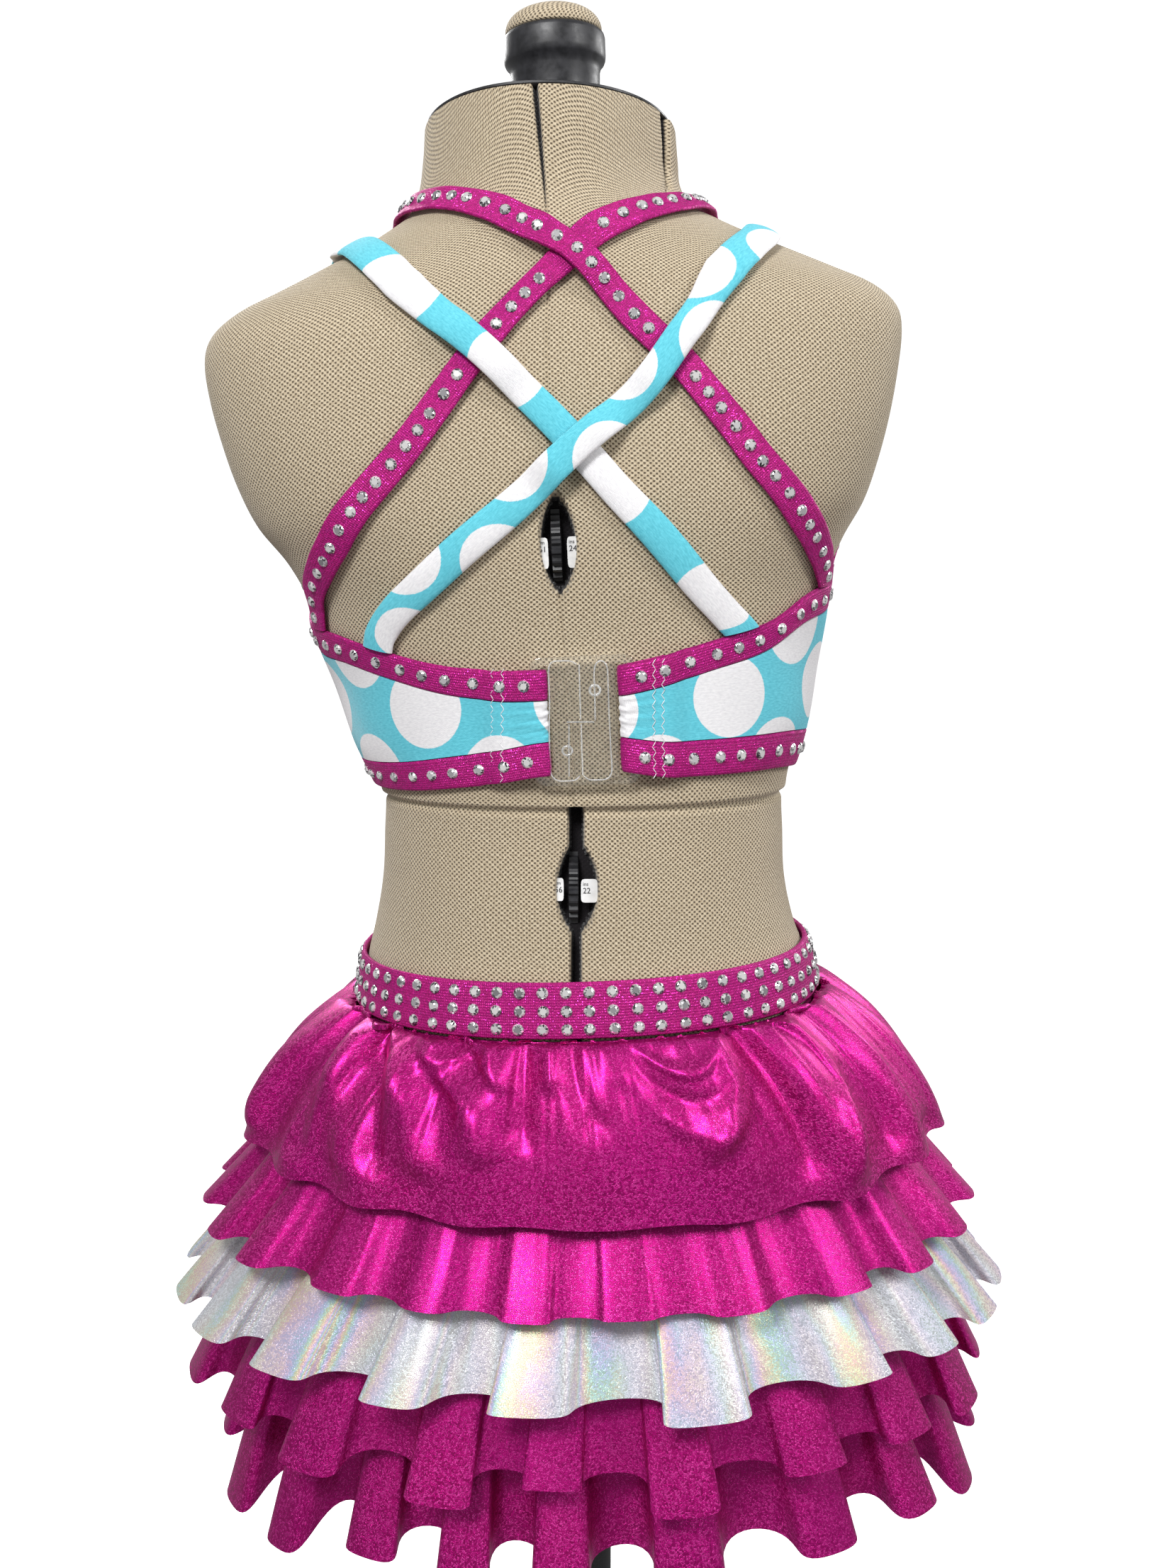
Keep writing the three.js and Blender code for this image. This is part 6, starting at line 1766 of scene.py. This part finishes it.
for name in ("halter_left", "halter_right"):
    strap = STRAPS[name]
    far = np.linspace(4, strap["path"][-1, 0] - 4, 300)
    spot = read_table(strap["path"], far)
    line = np.column_stack([spot[:, 1:], strap_lift(strap, far) + strap["thick"] / 2 - SET_IN])
    spots, normals, arounds = along_line(line, HALTER_SPACING, 2.0)
    keep = np.ones(len(spots), bool)
    for other_name, other in STRAPS.items():
        if name in other["over"]:
            cross_far = crossing(other["path"], strap["path"])
            middle = read_table(other["path"], np.array([cross_far]))
            centre = on_form(middle[:, 1], middle[:, 2], 3.0)[0]
            keep &= np.linalg.norm(spots - centre, axis=1) > 9.6
    stone_rows("stones_" + name, spots[keep], normals[keep], arounds[keep])

WAIST_ROWS = (460.4, 467.8, 475.2)
WAIST_STONE_LIFT = 3.55
waist_sets = []
bearing_line = np.linspace(-177, 183, 720)
waist_run = lengths(on_form(bearing_line, tilted(WAIST_ROWS[1], bearing_line), WAIST_STONE_LIFT), 0)
waist_steps = np.arange(2, waist_run[-1] - 6, WAIST_SPACING)
for row, height in enumerate(WAIST_ROWS):
    uneven = 0.35 * np.sin(np.arange(len(waist_steps)) * (4.1 + row))
    at = np.interp(waist_steps + uneven, waist_run, bearing_line)
    z = tilted(height, at)
    waist_sets.append((on_form(at, z, WAIST_STONE_LIFT), *form_frame(at, z)[1:3]))
stone_rows("stones_waistband", *joined(waist_sets))

# %% [markdown]
# Stitches are what makes cloth look sewn. A texture of dashes would lie flat, so each stitch is a short
# rod of thread with a rounded back, and all the stitches of one colour are one mesh.

# %% Sewing
STITCH_PITCH = 2.7
STITCH_LENGTH = STITCH_PITCH * 0.75
STITCH_PART = 0.81


def stitch_rows(name, starts, ends, normals, radius, finish, slot_name):
    """Short rods from each start to each end: four rings of six corners, thin and low at the ends."""
    starts, ends, normals = (np.asarray(part) for part in (starts, ends, normals))
    along = unit(ends - starts)
    beside = unit(np.cross(along, normals))
    up = np.cross(beside, along)
    turn = np.arange(6) * math.pi / 3
    rings = []
    for share, size, rise in ((0, 0.55, -0.3), (0.25, 1, 0.35), (0.75, 1, 0.35), (1, 0.55, -0.3)):
        centre = starts + (ends - starts) * share + up * radius * rise
        ring = centre[:, None] + radius * size * (np.cos(turn)[None, :, None] * beside[:, None]
                                                  + np.sin(turn)[None, :, None] * up[:, None])
        rings.append(ring)
    points = np.concatenate(rings, axis=1)
    i = np.arange(6)
    j = (i + 1) % 6
    quads = np.concatenate([
        np.stack([k + i, k + j, k + 6 + j, k + 6 + i], 1) for k in (0, 6, 12)
    ])
    ends_faces = np.stack([i[::-1], 18 + i])
    return make_piece(name, copied(points, [quads, ends_faces]), finish, sharp=80)


def stitch_line(spots):
    """Starts, ends and normals of a row of stitches along a line of bearing, height and lift."""
    run = lengths(on_form(*spots.T), 0)
    begin = np.arange(0.5, run[-1] - STITCH_PITCH, STITCH_PITCH)
    starts = read_line(spots, run, begin)
    ends = read_line(spots, run, begin + STITCH_LENGTH)
    return on_form(*starts), on_form(*ends), form_frame(ends[0], ends[1])[1]


top_rows = []
for side, table in ((1, LEFT_WING_EDGES), (-1, RIGHT_WING_EDGES)):
    for column, inward in ((2, -UPPER_BINDING * STITCH_PART), (1, LOWER_BINDING * STITCH_PART)):
        near_x, far = np.linspace(18.5, 44, 50), np.linspace(27.5, 89.3, 90)
        top_rows.append(stitch_line(wing_line(side, table, column, inward, near_x, far, 0.12, 0.15)))
bearing_line = np.linspace(269, 91, 300)
lift = np.full(300, OUTER_LIFT - 0.3)
for place_at, part in ((upper_place, 1 - STITCH_PART), (lower_place, STITCH_PART)):
    top_rows.append(stitch_line(np.column_stack([*place_at(bearing_line, part), lift])))
stitch_rows("stitches_bindings", *joined(top_rows), 0.17, magenta_thread, "magenta_foil")

white_rows = []
for top_x, low_x, top_z, low_z in (
    (36.2, 39.0, 612, 563.5), (31.8, 34.5, 612, 563.5), (-29.0, -26.9, 613, 563.5),
    (-32.8, -30.7, 613, 563.5),
):
    z = np.linspace(top_z, low_z, 24)
    x = np.linspace(top_x, low_x, 24) + 0.7 * np.where(np.arange(24) % 2, 1, -1)
    lift = wing_lift(x) + 0.1
    jersey_part = (z > low_z + 13) & (z < top_z - 13)
    lift = np.where(jersey_part, lift - (BINDING - JERSEY) / 2 + 0.15, lift)
    points = on_form(bearing_at(x, z), z, lift)
    normal = form_frame(bearing_at(x, z), z)[1]
    white_rows.append((points[:-1], points[1:], normal[:-1]))
stitch_rows("stitches_clasp", *joined(white_rows), 0.16, white_thread, "dotted_jersey")

# %% [markdown]
# The photo was taken in soft, even light on a white ground. A world of pale light fills every side,
# broad lamps all round give the foil something to reflect, and a pale bowl stands in for the floor and
# the paper behind.

# %% Floor, lamps and world
GROUND_GLOW = 0.68
WORLD_LIGHT = 0.36


def pale_ground():
    """A floor that curves up to a wall all round, 3.4 m away: a profile turned about the upright axis."""
    arc = np.linspace(0, math.pi / 2, 10)
    radius = np.concatenate([[0.01, 1.2, 2.0], 2.6 + 0.8 * np.sin(arc), [3.4]]) * 1000
    height = np.concatenate([[0, 0, 0], 0.8 * (1 - np.cos(arc)), [6]]) * 1000 - 0.5
    rings = turned_rings(np.column_stack([radius, height]), 96)
    row, column = corner_grid(len(rings), 96)
    faces = row * 96 + column % 96
    mesh = bpy.data.meshes.new("pale_ground")
    mesh.from_pydata((rings.reshape(-1, 3) * 0.001).tolist(), [], faces[:, ::-1].tolist())
    mesh.polygons.foreach_set("use_smooth", np.ones(len(faces), bool))
    material, tree, shader = new_finish("pale_ground_paper", Roughness=0.9, Specular_IOR_Level=0.2,
                                        Emission_Color=(1, 1, 1, 1), Emission_Strength=GROUND_GLOW)
    spot = add_node(tree, "TexCoord").outputs["Object"]
    grain = add_noise(tree, spot, 3, 2)
    paper = add_ramp(tree, grain, [(0.3, (0.86, 0.86, 0.86)), (0.7, (0.90, 0.90, 0.90))])
    feed(tree, shader, Base_Color=paper)
    mesh.materials.append(material)
    ground = bpy.data.objects.new("pale_ground", mesh)
    ground.visible_diffuse = False
    ground.visible_glossy = False
    bpy.context.scene.collection.objects.link(ground)


def lamp(name, place, aim, size, power):
    """A square area lamp at a place, turned to its aim."""
    data = bpy.data.lights.new(name, "AREA")
    data.shape = "SQUARE"
    data.size = size
    data.energy = power
    made = bpy.data.objects.new(name, data)
    made.location = place
    toward = np.array(aim, float) - np.array(place, float)
    flat = math.hypot(toward[0], toward[1])
    made.rotation_euler = (math.atan2(flat, -toward[2]), 0, math.atan2(toward[1], toward[0]) - math.pi / 2)
    bpy.context.scene.collection.objects.link(made)


pale_ground()
lamp("key_behind", (0.5, 1.35, 1.75), (0, 0, 0.45), 0.5, 31)
lamp("key_right", (-1.3, 0.9, 1.5), (0, 0, 0.45), 0.5, 14)
lamp("front_left", (0.9, -1.5, 1.6), (0, 0, 0.45), 0.7, 22)
lamp("front_right", (-1.4, -0.9, 1.3), (0, 0, 0.45), 0.6, 12)
world = bpy.data.worlds.new("studio")
bpy.context.scene.world = world
world.use_nodes = True
world.node_tree.nodes["Background"].inputs["Color"].default_value = (1, 1, 1, 1)
world.node_tree.nodes["Background"].inputs["Strength"].default_value = WORLD_LIGHT
bpy.context.scene.view_settings.view_transform = "Standard"
